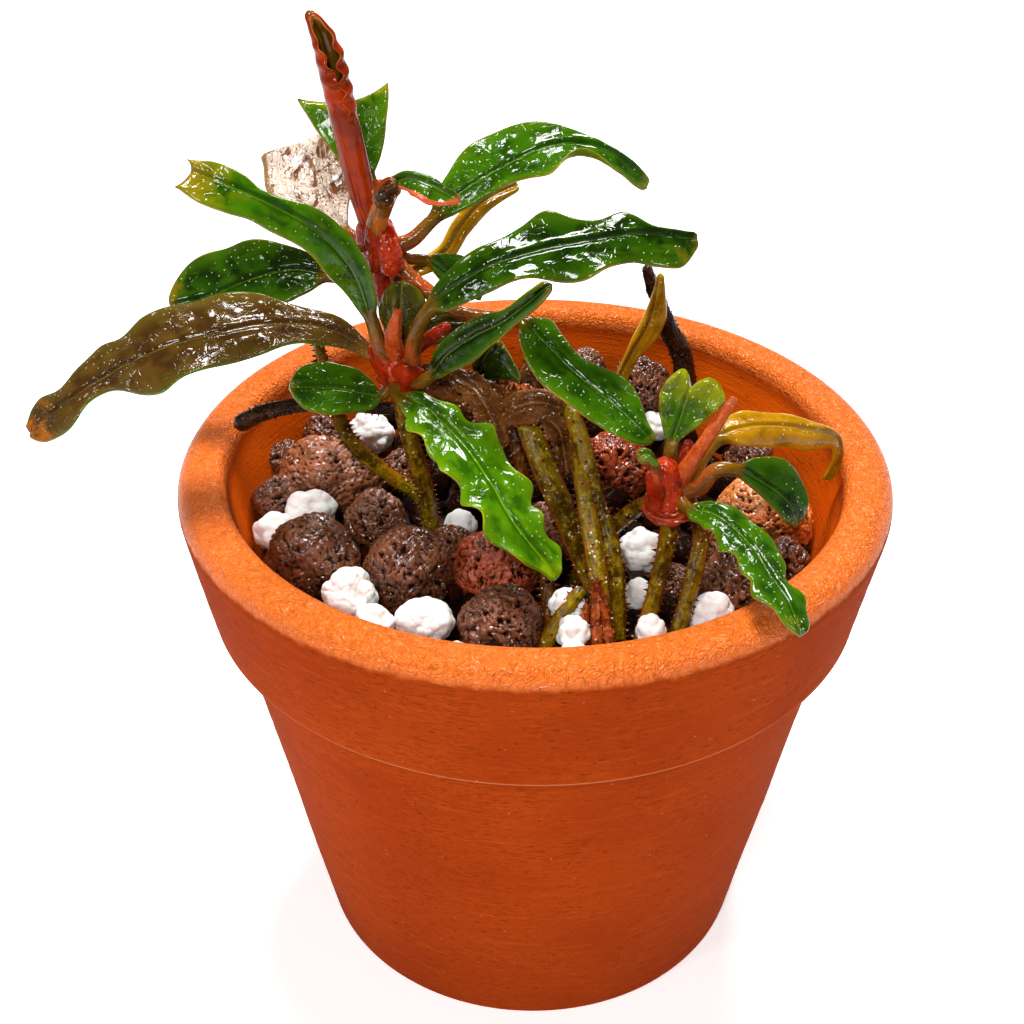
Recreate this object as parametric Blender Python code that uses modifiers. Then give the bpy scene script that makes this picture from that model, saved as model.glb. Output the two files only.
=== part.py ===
"""Potted red velvet bucephalandra.

A small aquarium plant stands rooted in a terracotta pot of 90 mm across the rim, filled with
lava stones, perlite lumps and a bed of finer granules. All sizes below are in millimetres,
measured from the pot's turning axis, with z up from the pot's foot and the viewer on -Y.
"""
import math
from typing import NamedTuple

import bmesh
import bpy
from mathutils import Vector, noise

MM = 0.001
GAP = 0.35

RIM_RADIUS = 45.0
POT_HEIGHT = 71.4
LIP_WIDTH = 6.0
LIP_OUTER_ROUND = 2.4
LIP_INNER_ROUND = 1.6
LIP_UNDERCUT = 0.6
LIP_DEPTH = 3.4
COLLAR_BOTTOM_Z = 53.3
COLLAR_BOTTOM_RADIUS = 42.4
BODY_TOP_RADIUS = 39.7
EDGE_BEVEL = 0.7
FOOT_RADIUS = 30.1
FLOOR_THICKNESS = 6.0
FLOOR_RADIUS = 25.3
FLOOR_CORNER = 1.4
DRAIN_RADIUS = 5.0
POT_SEGMENTS = 32

BED_TOP_Z = 61.0
THIN_STEM = 1.7
LUMPS_PER_RADIUS = 1.7
MARGIN_MIN = 0.3
RIPPLE_START = 0.25
RIPPLE_END = 0.12
LEFT_RIPPLE_SHIFT = 0.37
NOTCH_DEPTH_POWER = 6
SMOOTH_ANGLE = math.radians(40)


class Tone(NamedTuple):
    """The colour and roughness of a piece's material."""

    colour: tuple
    roughness: float


TERRACOTTA = Tone((0.62, 0.16, 0.04), 0.65)
STONE_DARK = Tone((0.09, 0.035, 0.025), 0.35)
STONE_RED = Tone((0.30, 0.07, 0.035), 0.40)
PERLITE = Tone((0.85, 0.83, 0.80), 0.90)
BED = Tone((0.05, 0.025, 0.02), 0.80)
GREEN = Tone((0.04, 0.16, 0.015), 0.25)
DARK_GREEN = Tone((0.015, 0.06, 0.01), 0.25)
BRONZE = Tone((0.12, 0.07, 0.03), 0.22)
COPPER = Tone((0.35, 0.16, 0.10), 0.22)
GOLD = Tone((0.35, 0.25, 0.03), 0.30)
OLIVE = Tone((0.16, 0.11, 0.015), 0.35)
BROWN = Tone((0.08, 0.035, 0.015), 0.40)
RED = Tone((0.42, 0.04, 0.02), 0.25)
BLACK = Tone((0.02, 0.012, 0.01), 0.30)


class Stone(NamedTuple):
    """A lump: its centre, its three radii and how rough it is."""

    name: str
    tone: Tone
    centre: tuple
    radii: tuple
    rough: float = 0.10


class Stem(NamedTuple):
    """A round stem or rolled leaf: points along its axis, with a radius at each."""

    name: str
    tone: Tone
    points: tuple
    radii: tuple
    in_bed: bool = False


class Blade(NamedTuple):
    """A leaf or a strap.

    The petiole's points come before the midrib's. The half widths are measured at even steps
    from the start of the midrib to the tip, seen from above with the tip ahead. face_root and
    face_tip are the directions in which the upper side looks. fold lifts the margins per
    millimetre of half width, ripple is the height of the margin's waves, and notch is how far
    the margins run past the midrib at the tip.
    """

    name: str
    tone: Tone
    petiole: tuple
    midrib: tuple
    right: tuple
    left: tuple
    face_root: tuple
    face_tip: tuple
    fold: float = 0.08
    ripple: float = 0.0
    waves: float = 4.0
    notch: float = 0.0
    stalk: float = 0.6
    thickness: float = 0.7
    stations: int = 10
    in_bed: bool = False


STONES = (
    Stone("pebble_front_left", STONE_DARK, (-28.0, -9.3, 61.3), (5.9, 5.6, 5.4)),
    Stone("pebble_front_middle", STONE_DARK, (-15.5, -12.0, 61.3), (5.5, 5.5, 5.6)),
    Stone("pebble_left_wide", STONE_DARK, (-27.3, 8.6, 62.0), (7.4, 5.0, 5.2)),
    Stone("pebble_by_main_stem", STONE_DARK, (-20.3, -1.4, 61.2), (4.1, 4.0, 4.2)),
    Stone("pebble_red", STONE_RED, (-5.0, -11.5, 61.4), (5.3, 5.2, 5.4)),
    Stone("pebble_front_rim", STONE_DARK, (-4.3, -22.6, 61.0), (4.9, 4.7, 4.5)),
    Stone("pebble_back_middle", STONE_RED, (11.2, 11.5, 61.8), (5.0, 4.8, 5.0)),
    Stone("pebble_back_right", STONE_DARK, (15.3, 27.3, 65.5), (4.4, 4.3, 4.6)),
    Stone("pebble_back", STONE_DARK, (8.0, 30.5, 66.0), (3.3, 3.2, 3.4)),
    Stone("pebble_orange", STONE_RED, (29.6, -1.0, 61.4), (6.5, 5.8, 5.8)),
    Stone("pebble_right_front", STONE_DARK, (25.4, -14.8, 61.2), (5.0, 4.8, 5.0)),
    Stone("pebble_centre", STONE_DARK, (2.0, -3.0, 61.0), (4.2, 4.0, 4.2)),
    Stone("perlite_left", PERLITE, (-28.8, -0.3, 62.6), (3.6, 2.7, 3.0), 0.16),
    Stone("perlite_front_left", PERLITE, (-22.5, -17.4, 61.8), (3.6, 3.5, 3.5), 0.16),
    Stone("perlite_front", PERLITE, (-13.2, -22.6, 61.6), (3.8, 3.1, 3.2), 0.16),
    Stone("perlite_centre", PERLITE, (13.4, -9.0, 62.2), (3.2, 3.0, 3.0), 0.16),
    Stone("perlite_right", PERLITE, (21.0, -21.7, 61.8), (2.9, 2.8, 2.9), 0.16),
    Stone("perlite_back_left", PERLITE, (-22.6, 19.0, 62.6), (3.6, 3.2, 3.2), 0.16),
)

STEMS = (
    Stem("stem_main", OLIVE,
         ((-13.3, 0.5, 57.0), (-13.9, -2.0, 66.7), (-15.5, -3.0, 75.0), (-16.2, -3.4, 82.0),
          (-16.3, -3.6, 85.6), (-16.3, -3.6, 87.3)),
         (1.5, 1.4, 1.4, 1.6, 2.0, 1.2), True),
    Stem("stem_upper", RED,
         ((-16.8, -2.5, 88.4), (-17.7, -0.6, 92.5), (-18.1, 0.1, 95.8), (-18.4, 0.4, 98.6),
          (-18.8, 0.5, 101.4)),
         (1.2, 1.3, 1.6, 2.3, 1.5)),
    Stem("stem_arch", OLIVE,
         ((-13.6, 5.7, 57.0), (-15.6, 5.3, 61.5), (-19.6, 5.0, 65.0), (-23.8, 4.0, 70.5),
          (-25.4, 3.0, 77.1), (-26.8, 1.5, 86.5)),
         (1.2, 1.2, 1.2, 1.1, 1.0, 0.7), True),
    Stem("stem_middle", OLIVE,
         ((9.7, -22.2, 57.0), (9.2, -18.8, 67.5), (7.0, -14.0, 73.5), (5.4, -10.2, 79.0),
          (4.8, -8.4, 80.8)),
         (1.4, 1.4, 1.35, 1.3, 1.2), True),
    Stem("root_left", OLIVE,
         ((0.3, -25.8, 55.0), (1.3, -24.4, 59.8), (3.6, -22.6, 63.3), (5.6, -20.8, 65.3)),
         (1.0, 1.0, 1.0, 0.8), True),
    Stem("root_inner", BROWN,
         ((1.4, -20.4, 55.0), (1.5, -19.3, 59.0), (1.5, -17.2, 62.0), (1.4, -14.6, 64.6)),
         (0.9, 0.9, 0.9, 0.7), True),
    Stem("root_red", RED,
         ((6.9, -27.0, 55.0), (7.2, -25.9, 60.0), (7.0, -23.8, 64.0), (7.1, -21.9, 67.5)),
         (0.9, 0.9, 0.9, 0.6), True),
    Stem("stem_right", OLIVE,
         ((11.4, -27.0, 57.0), (14.0, -22.5, 66.0), (15.2, -20.3, 71.5), (15.6, -19.3, 76.0),
          (15.9, -19.1, 77.8), (16.1, -19.0, 79.0)),
         (1.3, 1.3, 1.3, 1.8, 2.1, 1.0), True),
    Stem("stem_right_back", OLIVE,
         ((15.3, -26.2, 57.0), (18.2, -21.4, 65.7), (19.4, -18.2, 71.5), (18.1, -17.2, 75.5)),
         (1.2, 1.2, 1.2, 0.9), True),
    Stem("root_link", OLIVE,
         ((5.2, -8.9, 57.0), (6.8, -10.2, 63.0), (9.1, -12.0, 67.4), (12.2, -14.2, 72.2),
          (14.3, -17.0, 75.3)),
         (1.0, 1.0, 1.0, 1.0, 0.8), True),
    Stem("rhizome", BROWN,
         ((-13.9, -2.0, 83.2), (-8.0, -2.0, 81.3), (-3.2, -2.6, 80.6), (0.6, -3.3, 80.8),
          (3.6, -4.0, 79.9)),
         (1.6, 2.2, 2.3, 2.2, 1.6)),
    Stem("dead_petiole", BLACK,
         ((-17.9, -2.8, 79.0), (-25.4, -0.2, 78.4), (-30.6, 1.2, 77.2), (-35.0, 2.2, 75.4),
          (-38.2, 3.0, 73.2)),
         (0.9, 0.9, 1.0, 1.1, 1.2)),
    Stem("dead_stem", BLACK,
         ((22.3, 26.0, 58.0), (21.4, 27.0, 69.5), (18.7, 27.0, 75.6), (16.9, 26.5, 80.4),
          (15.3, 26.0, 85.0)),
         (1.6, 1.5, 1.3, 1.1, 0.8), True),
    Stem("new_leaf_rolled", RED,
         ((-19.0, 0.5, 102.2), (-19.8, 0.3, 107.0), (-20.5, 0.0, 112.5), (-21.0, -0.6, 117.0),
          (-21.8, -1.3, 120.6), (-22.6, -1.8, 124.2), (-23.9, -2.0, 127.5)),
         (1.3, 1.3, 1.3, 1.4, 1.8, 1.4, 0.3)),
    Stem("shoot_pink", RED,
         ((-16.7, -5.2, 88.4), (-16.5, -6.6, 92.0), (-15.6, -7.0, 94.8)),
         (0.9, 0.8, 0.35)),
    Stem("spike_right", RED,
         ((16.7, -19.1, 80.0), (19.0, -18.5, 84.0), (21.0, -17.5, 87.0), (22.2, -17.0, 89.0)),
         (1.1, 1.0, 0.9, 0.45)),
)

BLADES = (
    Blade("leaf_bronze_long", BRONZE, (),
          ((-18.7, -3.2, 86.2), (-24.5, -4.0, 90.5), (-31.0, -6.0, 92.2), (-37.0, -8.0, 92.0),
           (-44.0, -9.5, 90.5), (-52.0, -11.0, 86.5), (-59.5, -12.0, 81.0)),
          (0.8, 1.5, 2.3, 2.8, 3.6, 4.5, 5.2, 5.8, 6.0, 5.0, 3.6, 4.4, 3.8, 2.3, 2.9, 1.5),
          (0.7, 1.0, 1.9, 2.7, 3.3, 3.9, 4.2, 4.5, 5.3, 5.8, 4.6, 2.2, 1.9, 3.2, 2.8, 1.3),
          (0.0, -0.45, 0.90), (0.0, -0.50, 0.87), ripple=0.7, waves=3.5, stations=13),
    Blade("leaf_left_upper", GREEN,
          ((-18.1, -4.8, 87.7),),
          ((-19.2, -4.8, 92.0), (-21.0, -5.0, 98.5), (-25.0, -6.0, 104.0), (-30.5, -7.0, 108.0),
           (-38.0, -7.0, 111.5)),
          (0.8, 1.4, 1.7, 2.0, 2.4, 2.5, 2.2, 1.5, 1.3, 2.3, 2.3, 1.2),
          (0.6, 1.6, 2.4, 2.7, 2.7, 2.6, 2.8, 2.9, 2.7, 3.2, 3.4, 2.6),
          (-0.3, -0.6, 0.75), (-0.2, -0.5, 0.85), ripple=0.3, waves=2.0, notch=1.0, stations=9),
    Blade("leaf_left_rear", DARK_GREEN,
          ((-20.3, 1.8, 94.7),),
          ((-24.5, 3.0, 94.2), (-29.0, 4.0, 94.5), (-34.5, 5.0, 92.8), (-40.0, 6.0, 90.0),
           (-45.5, 6.5, 88.3)),
          (0.8, 2.0, 3.4, 4.6, 5.2, 5.5, 5.4, 5.0, 3.6),
          (0.8, 3.0, 4.2, 4.6, 4.4, 4.0, 3.4, 2.6, 1.8),
          (-0.1, -0.70, 0.70), (-0.1, -0.70, 0.70), ripple=0.3, waves=3.0, stations=8),
    Blade("leaf_copper", COPPER,
          ((-21.0, 2.8, 99.4),),
          ((-22.5, 4.0, 100.5), (-25.0, 6.0, 102.5), (-25.5, 8.0, 105.0), (-25.5, 9.6, 109.5)),
          (0.8, 1.7, 2.7, 2.9, 3.0, 2.7, 1.9, 0.9),
          (0.8, 1.4, 2.2, 3.6, 5.8, 6.2, 4.0, 1.2),
          (0.0, -1.0, 0.3), (0.0, -0.9, 0.5), ripple=0.3, waves=2.0, stations=8),
    Blade("leaf_top_fan", GREEN,
          ((-18.3, 2.7, 101.6),),
          ((-19.6, 5.0, 106.0), (-20.5, 6.0, 108.5), (-21.1, 7.4, 111.5), (-21.6, 9.0, 113.8)),
          (0.7, 2.2, 3.0, 3.6, 4.2, 4.7),
          (0.9, 2.2, 3.2, 4.3, 5.2, 6.2),
          (0.0, -1.0, 0.2), (0.0, -0.9, 0.45), fold=0.18, notch=1.2, stations=7),
    Blade("leaf_small_curl", GREEN,
          ((-16.6, -1.7, 102.2), (-15.9, -3.2, 105.6)),
          ((-15.4, -4.2, 108.3), (-13.8, -5.2, 109.4), (-11.5, -6.0, 109.0), (-8.5, -6.2, 107.3)),
          (0.8, 1.2, 1.5, 1.6, 1.2, 0.3),
          (0.8, 1.0, 1.3, 1.2, 0.8, 0.3),
          (-0.5, -0.5, 0.6), (0.1, -0.6, 0.8), fold=0.2, stalk=0.9, stations=7),
    Blade("leaf_right_upper", GREEN,
          ((-14.8, 1.1, 99.7),),
          ((-12.5, 2.2, 101.5), (-9.0, 4.0, 104.2), (-3.0, 6.0, 107.2), (3.0, 7.5, 109.0),
           (8.5, 8.2, 107.8), (13.5, 8.5, 103.3)),
          (0.8, 1.6, 2.2, 2.3, 2.6, 3.4, 4.6, 4.6, 4.2, 3.4, 2.6, 1.8, 0.8),
          (0.8, 2.0, 3.2, 4.3, 4.9, 4.9, 4.1, 3.0, 1.9, 0.8, 0.8, 1.1, 0.6),
          (-0.1, -0.6, 0.8), (0.2, -0.5, 0.8), ripple=0.4, waves=3.5, stations=10),
    Blade("petiole_strap", GOLD,
          (),
          ((-15.8, 2.3, 94.6), (-11.0, 5.0, 96.3), (-9.0, 7.0, 98.8), (-6.0, 9.5, 101.2),
           (-2.0, 11.5, 102.5)),
          (0.7, 1.1, 1.2, 1.3, 1.2, 0.7), (0.7, 1.1, 1.2, 1.3, 1.2, 0.7),
          (0.3, -0.9, 0.3), (0.0, -0.8, 0.6), stations=6),
    Blade("leaf_small_middle", GREEN,
          ((-15.2, 1.1, 97.4),),
          ((-13.0, 1.6, 97.0), (-10.8, 2.0, 95.2), (-8.5, 2.2, 93.2), (-6.5, 2.4, 91.4)),
          (0.6, 1.2, 1.5, 1.4, 0.8, 0.3), (0.6, 2.0, 3.0, 3.2, 2.4, 0.4),
          (0.2, -0.6, 0.8), (0.2, -0.6, 0.8), stations=6),
    Blade("leaf_right_long", DARK_GREEN,
          ((-14.8, -5.7, 87.2), (-14.2, -7.2, 91.0)),
          ((-12.6, -8.2, 95.0), (-9.5, -9.0, 98.3), (-5.5, -8.8, 100.8), (-0.5, -7.8, 102.2),
           (6.0, -6.5, 103.0), (12.0, -5.2, 103.2), (18.5, -4.0, 102.0)),
          (0.8, 2.0, 2.5, 2.8, 3.0, 3.4, 4.4, 4.8, 3.9, 3.4, 4.0, 4.2, 1.4),
          (0.8, 1.9, 2.4, 2.7, 2.9, 3.8, 4.6, 3.2, 2.7, 3.1, 1.3, 0.8, 0.9),
          (-0.2, -0.6, 0.75), (0.1, -0.6, 0.8), ripple=0.6, waves=3.5, stations=12),
    Blade("leaf_narrow_curl", DARK_GREEN,
          ((-14.4, -5.7, 84.6),),
          ((-12.6, -7.2, 86.0), (-10.0, -9.0, 90.0), (-7.0, -10.4, 93.0), (-4.0, -12.0, 95.5),
           (-1.0, -13.0, 98.5), (1.5, -13.2, 101.0)),
          (0.7, 1.7, 2.5, 2.6, 1.9, 1.2, 1.2, 0.8),
          (0.7, 1.7, 1.9, 2.0, 1.8, 1.2, 1.2, 0.8),
          (-0.3, -0.6, 0.7), (-0.5, -0.7, 0.2), stations=8),
    Blade("leaf_low_right", GREEN,
          ((-15.4, -1.0, 96.6), (-11.8, -2.6, 94.2), (-8.8, -3.6, 92.6), (-5.5, -4.4, 92.4)),
          ((-2.0, -5.4, 92.5), (0.5, -7.5, 91.0), (3.5, -10.0, 88.8), (7.0, -12.0, 86.5),
           (10.5, -14.0, 84.3), (13.4, -15.6, 81.9)),
          (0.9, 2.2, 3.4, 3.9, 4.2, 4.2, 3.8, 3.4, 3.2, 2.4, 0.8),
          (0.9, 3.0, 2.8, 2.4, 2.4, 3.2, 4.1, 3.8, 2.8, 1.6, 0.7),
          (0.3, -0.5, 0.8), (0.3, -0.5, 0.8), ripple=0.4, waves=2.5, stations=11),
    Blade("leaf_front_wavy", GREEN, (),
          ((-16.6, -6.2, 83.0), (-13.5, -8.0, 82.6), (-11.0, -10.5, 81.4), (-8.0, -14.0, 79.8),
           (-5.0, -18.0, 77.2), (-2.6, -21.2, 74.4), (2.5, -24.0, 68.8)),
          (0.7, 2.4, 3.4, 3.9, 3.5, 4.3, 4.3, 3.7, 4.1, 3.3, 3.5, 3.1, 2.2, 1.4, 0.8),
          (0.7, 1.5, 2.0, 2.8, 3.4, 4.2, 4.3, 3.5, 4.0, 4.1, 3.6, 3.1, 2.7, 2.4, 0.8),
          (0.3, -0.55, 0.75), (0.2, -0.6, 0.75), ripple=0.6, waves=5.0, stations=12),
    Blade("leaf_oval", GREEN, (),
          ((-18.5, -4.7, 82.2), (-23.5, -6.6, 84.0), (-29.2, -8.0, 85.0)),
          (0.6, 2.3, 3.0, 3.3, 3.5, 3.4, 2.8, 1.2), (0.6, 1.8, 2.6, 3.2, 3.5, 3.4, 2.7, 1.0),
          (-0.1, -0.6, 0.8), (-0.1, -0.6, 0.8), stations=7),
    Blade("leaf_shoot_upright", GREEN,
          ((15.4, -17.7, 80.0),),
          ((15.2, -17.4, 83.0), (16.2, -16.6, 86.0), (17.6, -15.4, 89.0)),
          (0.5, 1.3, 2.0, 2.5, 2.8, 2.4), (0.5, 1.5, 2.2, 2.7, 3.1, 2.4),
          (-0.1, -0.9, 0.4), (-0.1, -0.8, 0.6), fold=0.3, notch=1.8, stations=7),
    Blade("leaf_gold_folded", GOLD,
          ((17.8, -17.0, 78.6),),
          ((20.6, -14.0, 81.0), (24.0, -11.5, 81.2), (29.0, -8.5, 79.8), (34.0, -6.0, 77.6),
           (37.0, -4.4, 75.6), (37.5, -4.0, 72.4), (36.4, -4.0, 69.4)),
          (0.8, 2.0, 2.3, 2.2, 2.0, 1.8, 1.2, 0.7, 0.7, 0.5),
          (0.8, 2.2, 2.6, 1.9, 1.4, 1.2, 0.9, 0.6, 0.6, 0.4),
          (0.0, -0.5, 0.85), (0.6, -0.6, 0.4), fold=0.35, stations=11),
    Blade("leaf_spoon", DARK_GREEN,
          ((18.3, -20.0, 78.6), (20.2, -20.2, 81.2)),
          ((22.5, -20.2, 81.2), (25.0, -20.2, 79.8), (27.6, -20.2, 77.8), (29.4, -20.2, 75.8),
           (30.2, -20.2, 73.8)),
          (0.8, 1.2, 1.5, 1.9, 2.2, 2.0, 0.6), (0.8, 2.6, 3.8, 4.4, 4.2, 3.0, 0.8),
          (0.0, -0.5, 0.85), (0.3, -0.5, 0.8), stations=9),
    Blade("leaf_over_rim", GREEN, (),
          ((17.0, -21.7, 77.0), (20.0, -24.6, 77.8), (23.0, -27.8, 76.6), (25.2, -32.0, 75.0),
           (26.6, -35.3, 74.2), (28.0, -38.8, 72.0)),
          (0.7, 1.7, 2.0, 2.4, 3.0, 3.2, 2.7, 2.8, 3.3, 3.3, 2.6, 1.5, 0.7),
          (0.7, 1.7, 2.2, 2.5, 2.7, 2.8, 3.3, 2.6, 1.8, 2.0, 2.3, 1.9, 0.8),
          (0.3, -0.5, 0.8), (0.4, -0.6, 0.65), ripple=0.4, waves=4.0, stations=11),
    Blade("leaf_bud_striped", RED, (),
          ((14.1, -20.5, 79.7), (13.1, -21.8, 83.0), (12.0, -22.4, 84.4), (11.0, -22.6, 83.8)),
          (0.6, 1.1, 1.3, 0.9), (0.6, 1.1, 1.3, 0.9),
          (-0.8, -0.2, 0.4), (-0.3, -0.3, 0.9), stations=5),
    Blade("leaf_back", OLIVE, (),
          ((11.8, 20.6, 58.5), (12.2, 22.0, 69.0), (14.0, 22.4, 73.8), (15.6, 23.0, 76.8),
           (16.6, 23.8, 79.8), (17.2, 24.2, 84.6)),
          (0.9, 0.9, 0.9, 0.9, 0.9, 1.1, 1.9, 2.0, 1.2, 0.5),
          (0.9, 0.9, 0.9, 0.9, 0.9, 1.0, 1.3, 1.1, 0.7, 0.4),
          (0.0, -1.0, 0.3), (0.0, -1.0, 0.3), stations=10, in_bed=True),
    Blade("leaf_inner_upper", OLIVE, (),
          ((-16.2, -4.0, 89.9), (-16.0, -3.9, 91.6), (-15.8, -3.9, 94.0), (-15.7, -3.6, 96.5)),
          (0.7, 2.0, 2.4, 2.4, 2.0, 0.7), (0.7, 1.9, 2.6, 2.6, 2.1, 0.7),
          (0.0, -0.9, 0.4), (0.0, -0.8, 0.5), fold=-0.35, stations=6),
    Blade("leaf_inner_lower", BRONZE, (),
          ((-14.9, -1.0, 86.6), (-12.4, 1.2, 88.2), (-9.4, 2.4, 88.4), (-6.8, 3.0, 87.4)),
          (0.6, 2.0, 2.5, 2.0, 0.6), (0.6, 1.4, 2.0, 1.6, 0.5),
          (0.1, -0.6, 0.8), (0.2, -0.5, 0.85), stations=6),
    Blade("leaf_inner_right", DARK_GREEN, (),
          ((-6.8, -1.5, 84.2), (-6.0, -2.6, 86.4), (-4.4, -3.6, 88.8)),
          (0.6, 2.8, 4.0, 3.4, 0.8), (0.6, 1.2, 1.6, 1.4, 0.5),
          (-0.2, -0.9, 0.4), (-0.2, -0.9, 0.4), stations=6),
    Blade("stem_broad", OLIVE, (),
          ((8.6, -20.0, 54.0), (7.9, -17.0, 59.7), (4.8, -14.0, 67.3), (1.7, -11.0, 74.0),
           (-0.7, -7.9, 78.6), (-1.2, -6.6, 80.2)),
          (1.4, 1.5, 1.65, 1.8, 1.6, 1.2), (1.4, 1.5, 1.65, 1.8, 1.6, 1.2),
          (0.2, -0.8, 0.5), (0.2, -0.8, 0.5), fold=0.0, thickness=1.5, stations=7, in_bed=True),
)


def smooth_point(points, share):
    """The place and direction at a share of the way along a smooth curve through the points."""
    lengths = [0.0]
    for first, second in zip(points, points[1:]):
        lengths.append(lengths[-1] + (second - first).length)
    here = min(max(share, 0.0), 1.0) * lengths[-1]
    index = 0
    while index < len(points) - 2 and here > lengths[index + 1]:
        index += 1
    span = lengths[index + 1] - lengths[index]
    u = (here - lengths[index]) / span

    def slope(i):
        low = max(i - 1, 0)
        high = min(i + 1, len(points) - 1)
        return (points[high] - points[low]) / (lengths[high] - lengths[low])

    start, end = points[index], points[index + 1]
    leave, arrive = slope(index) * span, slope(index + 1) * span
    place = ((2 * u ** 3 - 3 * u ** 2 + 1) * start + (u ** 3 - 2 * u ** 2 + u) * leave
             + (3 * u ** 2 - 2 * u ** 3) * end + (u ** 3 - u ** 2) * arrive)
    direction = ((6 * u ** 2 - 6 * u) * start + (3 * u ** 2 - 4 * u + 1) * leave
                 + (6 * u - 6 * u ** 2) * end + (3 * u ** 2 - 2 * u) * arrive)
    return place, direction.normalized()


def even_value(values, share):
    """A value read from a list that is spaced evenly from 0 to 1, smoothly between entries."""
    place = min(max(share, 0.0), 1.0) * (len(values) - 1)
    index = min(int(place), len(values) - 2)
    u = place - index
    u = u * u * (3 - 2 * u)
    return values[index] * (1 - u) + values[index + 1] * u


class Surface:
    """Turns a blade's description into points, for along and across from 0 to 1 and -1 to 1."""

    def __init__(self, blade):
        self.blade = blade
        self.points = [Vector(p) for p in blade.petiole + blade.midrib]
        lengths = [(b - a).length for a, b in zip(self.points, self.points[1:])]
        self.root_share = sum(lengths[:len(blade.petiole)]) / sum(lengths)

    def half_width(self, along, side):
        blade = self.blade
        if along <= self.root_share:
            return blade.stalk
        share = (along - self.root_share) / (1 - self.root_share)
        width = even_value(blade.right if side > 0 else blade.left, share)
        return max(width, MARGIN_MIN)

    def point(self, along, across):
        blade = self.blade
        place, direction = smooth_point(self.points, along)
        face = Vector(blade.face_root).lerp(Vector(blade.face_tip), along)
        right = direction.cross(face).normalized()
        up = right.cross(direction)
        width = self.half_width(along, across)
        share = max(0.0, (along - self.root_share) / (1 - self.root_share))
        swell = min(1.0, share / RIPPLE_START) * min(1.0, (1 - share) / RIPPLE_END)
        phase = 0.0 if across > 0 else LEFT_RIPPLE_SHIFT
        wave = blade.ripple * swell * math.sin(2 * math.pi * (blade.waves * share + phase))
        lift = blade.fold * width * abs(across) + wave * across * across
        forward = blade.notch * across * across * share ** NOTCH_DEPTH_POWER
        return place + right * (across * width) + up * lift + direction * forward


def make_material(name, tone):
    """A piece's own Principled material, in its tone."""
    made = bpy.data.materials.new(name)
    made.use_nodes = True
    shader = made.node_tree.nodes["Principled BSDF"]
    shader.inputs["Base Color"].default_value = (*tone.colour, 1.0)
    shader.inputs["Roughness"].default_value = tone.roughness
    shader.inputs["Metallic"].default_value = 0.0
    made.diffuse_color = (*tone.colour, 1.0)
    return made


def add_object(name, data, tone, collection):
    """An object in the collection, with a material of its own."""
    made = bpy.data.objects.new(name, data)
    data.materials.append(make_material(name, tone))
    collection.objects.link(made)
    return made


def arc(centre, radius, start, end, count):
    """Points of an arc in the profile's plane, from one angle to another in degrees."""
    points = []
    for step in range(count + 1):
        angle = math.radians(start + (end - start) * step / count)
        points.append((centre[0] + radius * math.cos(angle), centre[1] + radius * math.sin(angle)))
    return points


def inner_radius(z):
    """The pot's inner wall: a straight cone from the floor to the lip."""
    top_radius = RIM_RADIUS - LIP_WIDTH - LIP_UNDERCUT
    share = (z - FLOOR_THICKNESS) / (POT_HEIGHT - LIP_DEPTH - FLOOR_THICKNESS)
    return FLOOR_RADIUS + (top_radius - FLOOR_RADIUS) * share


def pot_profile():
    """The pot's section, from the lip down the outside, through the drain hole and up inside."""
    outer_centre = (RIM_RADIUS - LIP_OUTER_ROUND, POT_HEIGHT - LIP_OUTER_ROUND)
    inner_centre = (RIM_RADIUS - LIP_WIDTH + LIP_INNER_ROUND, POT_HEIGHT - LIP_INNER_ROUND)
    wall_bottom_z = FLOOR_THICKNESS + FLOOR_CORNER
    wall_top_z = POT_HEIGHT - LIP_DEPTH
    return arc(outer_centre, LIP_OUTER_ROUND, 90, 0, 3) + [
        (COLLAR_BOTTOM_RADIUS, COLLAR_BOTTOM_Z + EDGE_BEVEL),
        (COLLAR_BOTTOM_RADIUS - EDGE_BEVEL, COLLAR_BOTTOM_Z),
        (BODY_TOP_RADIUS, COLLAR_BOTTOM_Z),
        (FOOT_RADIUS, EDGE_BEVEL),
        (FOOT_RADIUS - EDGE_BEVEL, 0.0),
        (DRAIN_RADIUS + EDGE_BEVEL, 0.0),
        (DRAIN_RADIUS, EDGE_BEVEL),
        (DRAIN_RADIUS, FLOOR_THICKNESS),
        (FLOOR_RADIUS - FLOOR_CORNER, FLOOR_THICKNESS),
        (inner_radius(wall_bottom_z), wall_bottom_z),
        (inner_radius(wall_top_z), wall_top_z),
    ] + arc(inner_centre, LIP_INNER_ROUND, 170, 90, 2)


def build_pot(collection):
    """The terracotta pot: its closed section turned about the axis."""
    profile = pot_profile()
    mesh = bpy.data.meshes.new("pot")
    edges = [(i, (i + 1) % len(profile)) for i in range(len(profile))]
    mesh.from_pydata([(r * MM, 0.0, z * MM) for r, z in profile], edges, [])
    pot = add_object("pot", mesh, TERRACOTTA, collection)
    turn = pot.modifiers.new("turn", "SCREW")
    turn.axis = "Z"
    turn.steps = POT_SEGMENTS
    turn.render_steps = POT_SEGMENTS
    turn.use_merge_vertices = True
    turn.merge_threshold = 0.00001
    turn.use_normal_calculate = True
    return pot


def stone_mesh(stone, grow=0.0):
    """A rough lump: an icosphere stretched to its radii and pushed in by noise."""
    mesh = bpy.data.meshes.new(stone.name)
    lump = bmesh.new()
    bmesh.ops.create_icosphere(lump, subdivisions=2, radius=1.0)
    shift = Vector(stone.centre)
    for vertex in lump.verts:
        dent = 1.0 - stone.rough * (0.5 + 0.5 * noise.noise(vertex.co * LUMPS_PER_RADIUS + shift))
        reach = [(radius * dent + grow) * MM for radius in stone.radii]
        vertex.co = Vector([vertex.co[axis] * reach[axis] for axis in range(3)])
    lump.to_mesh(mesh)
    lump.free()
    return mesh


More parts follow.
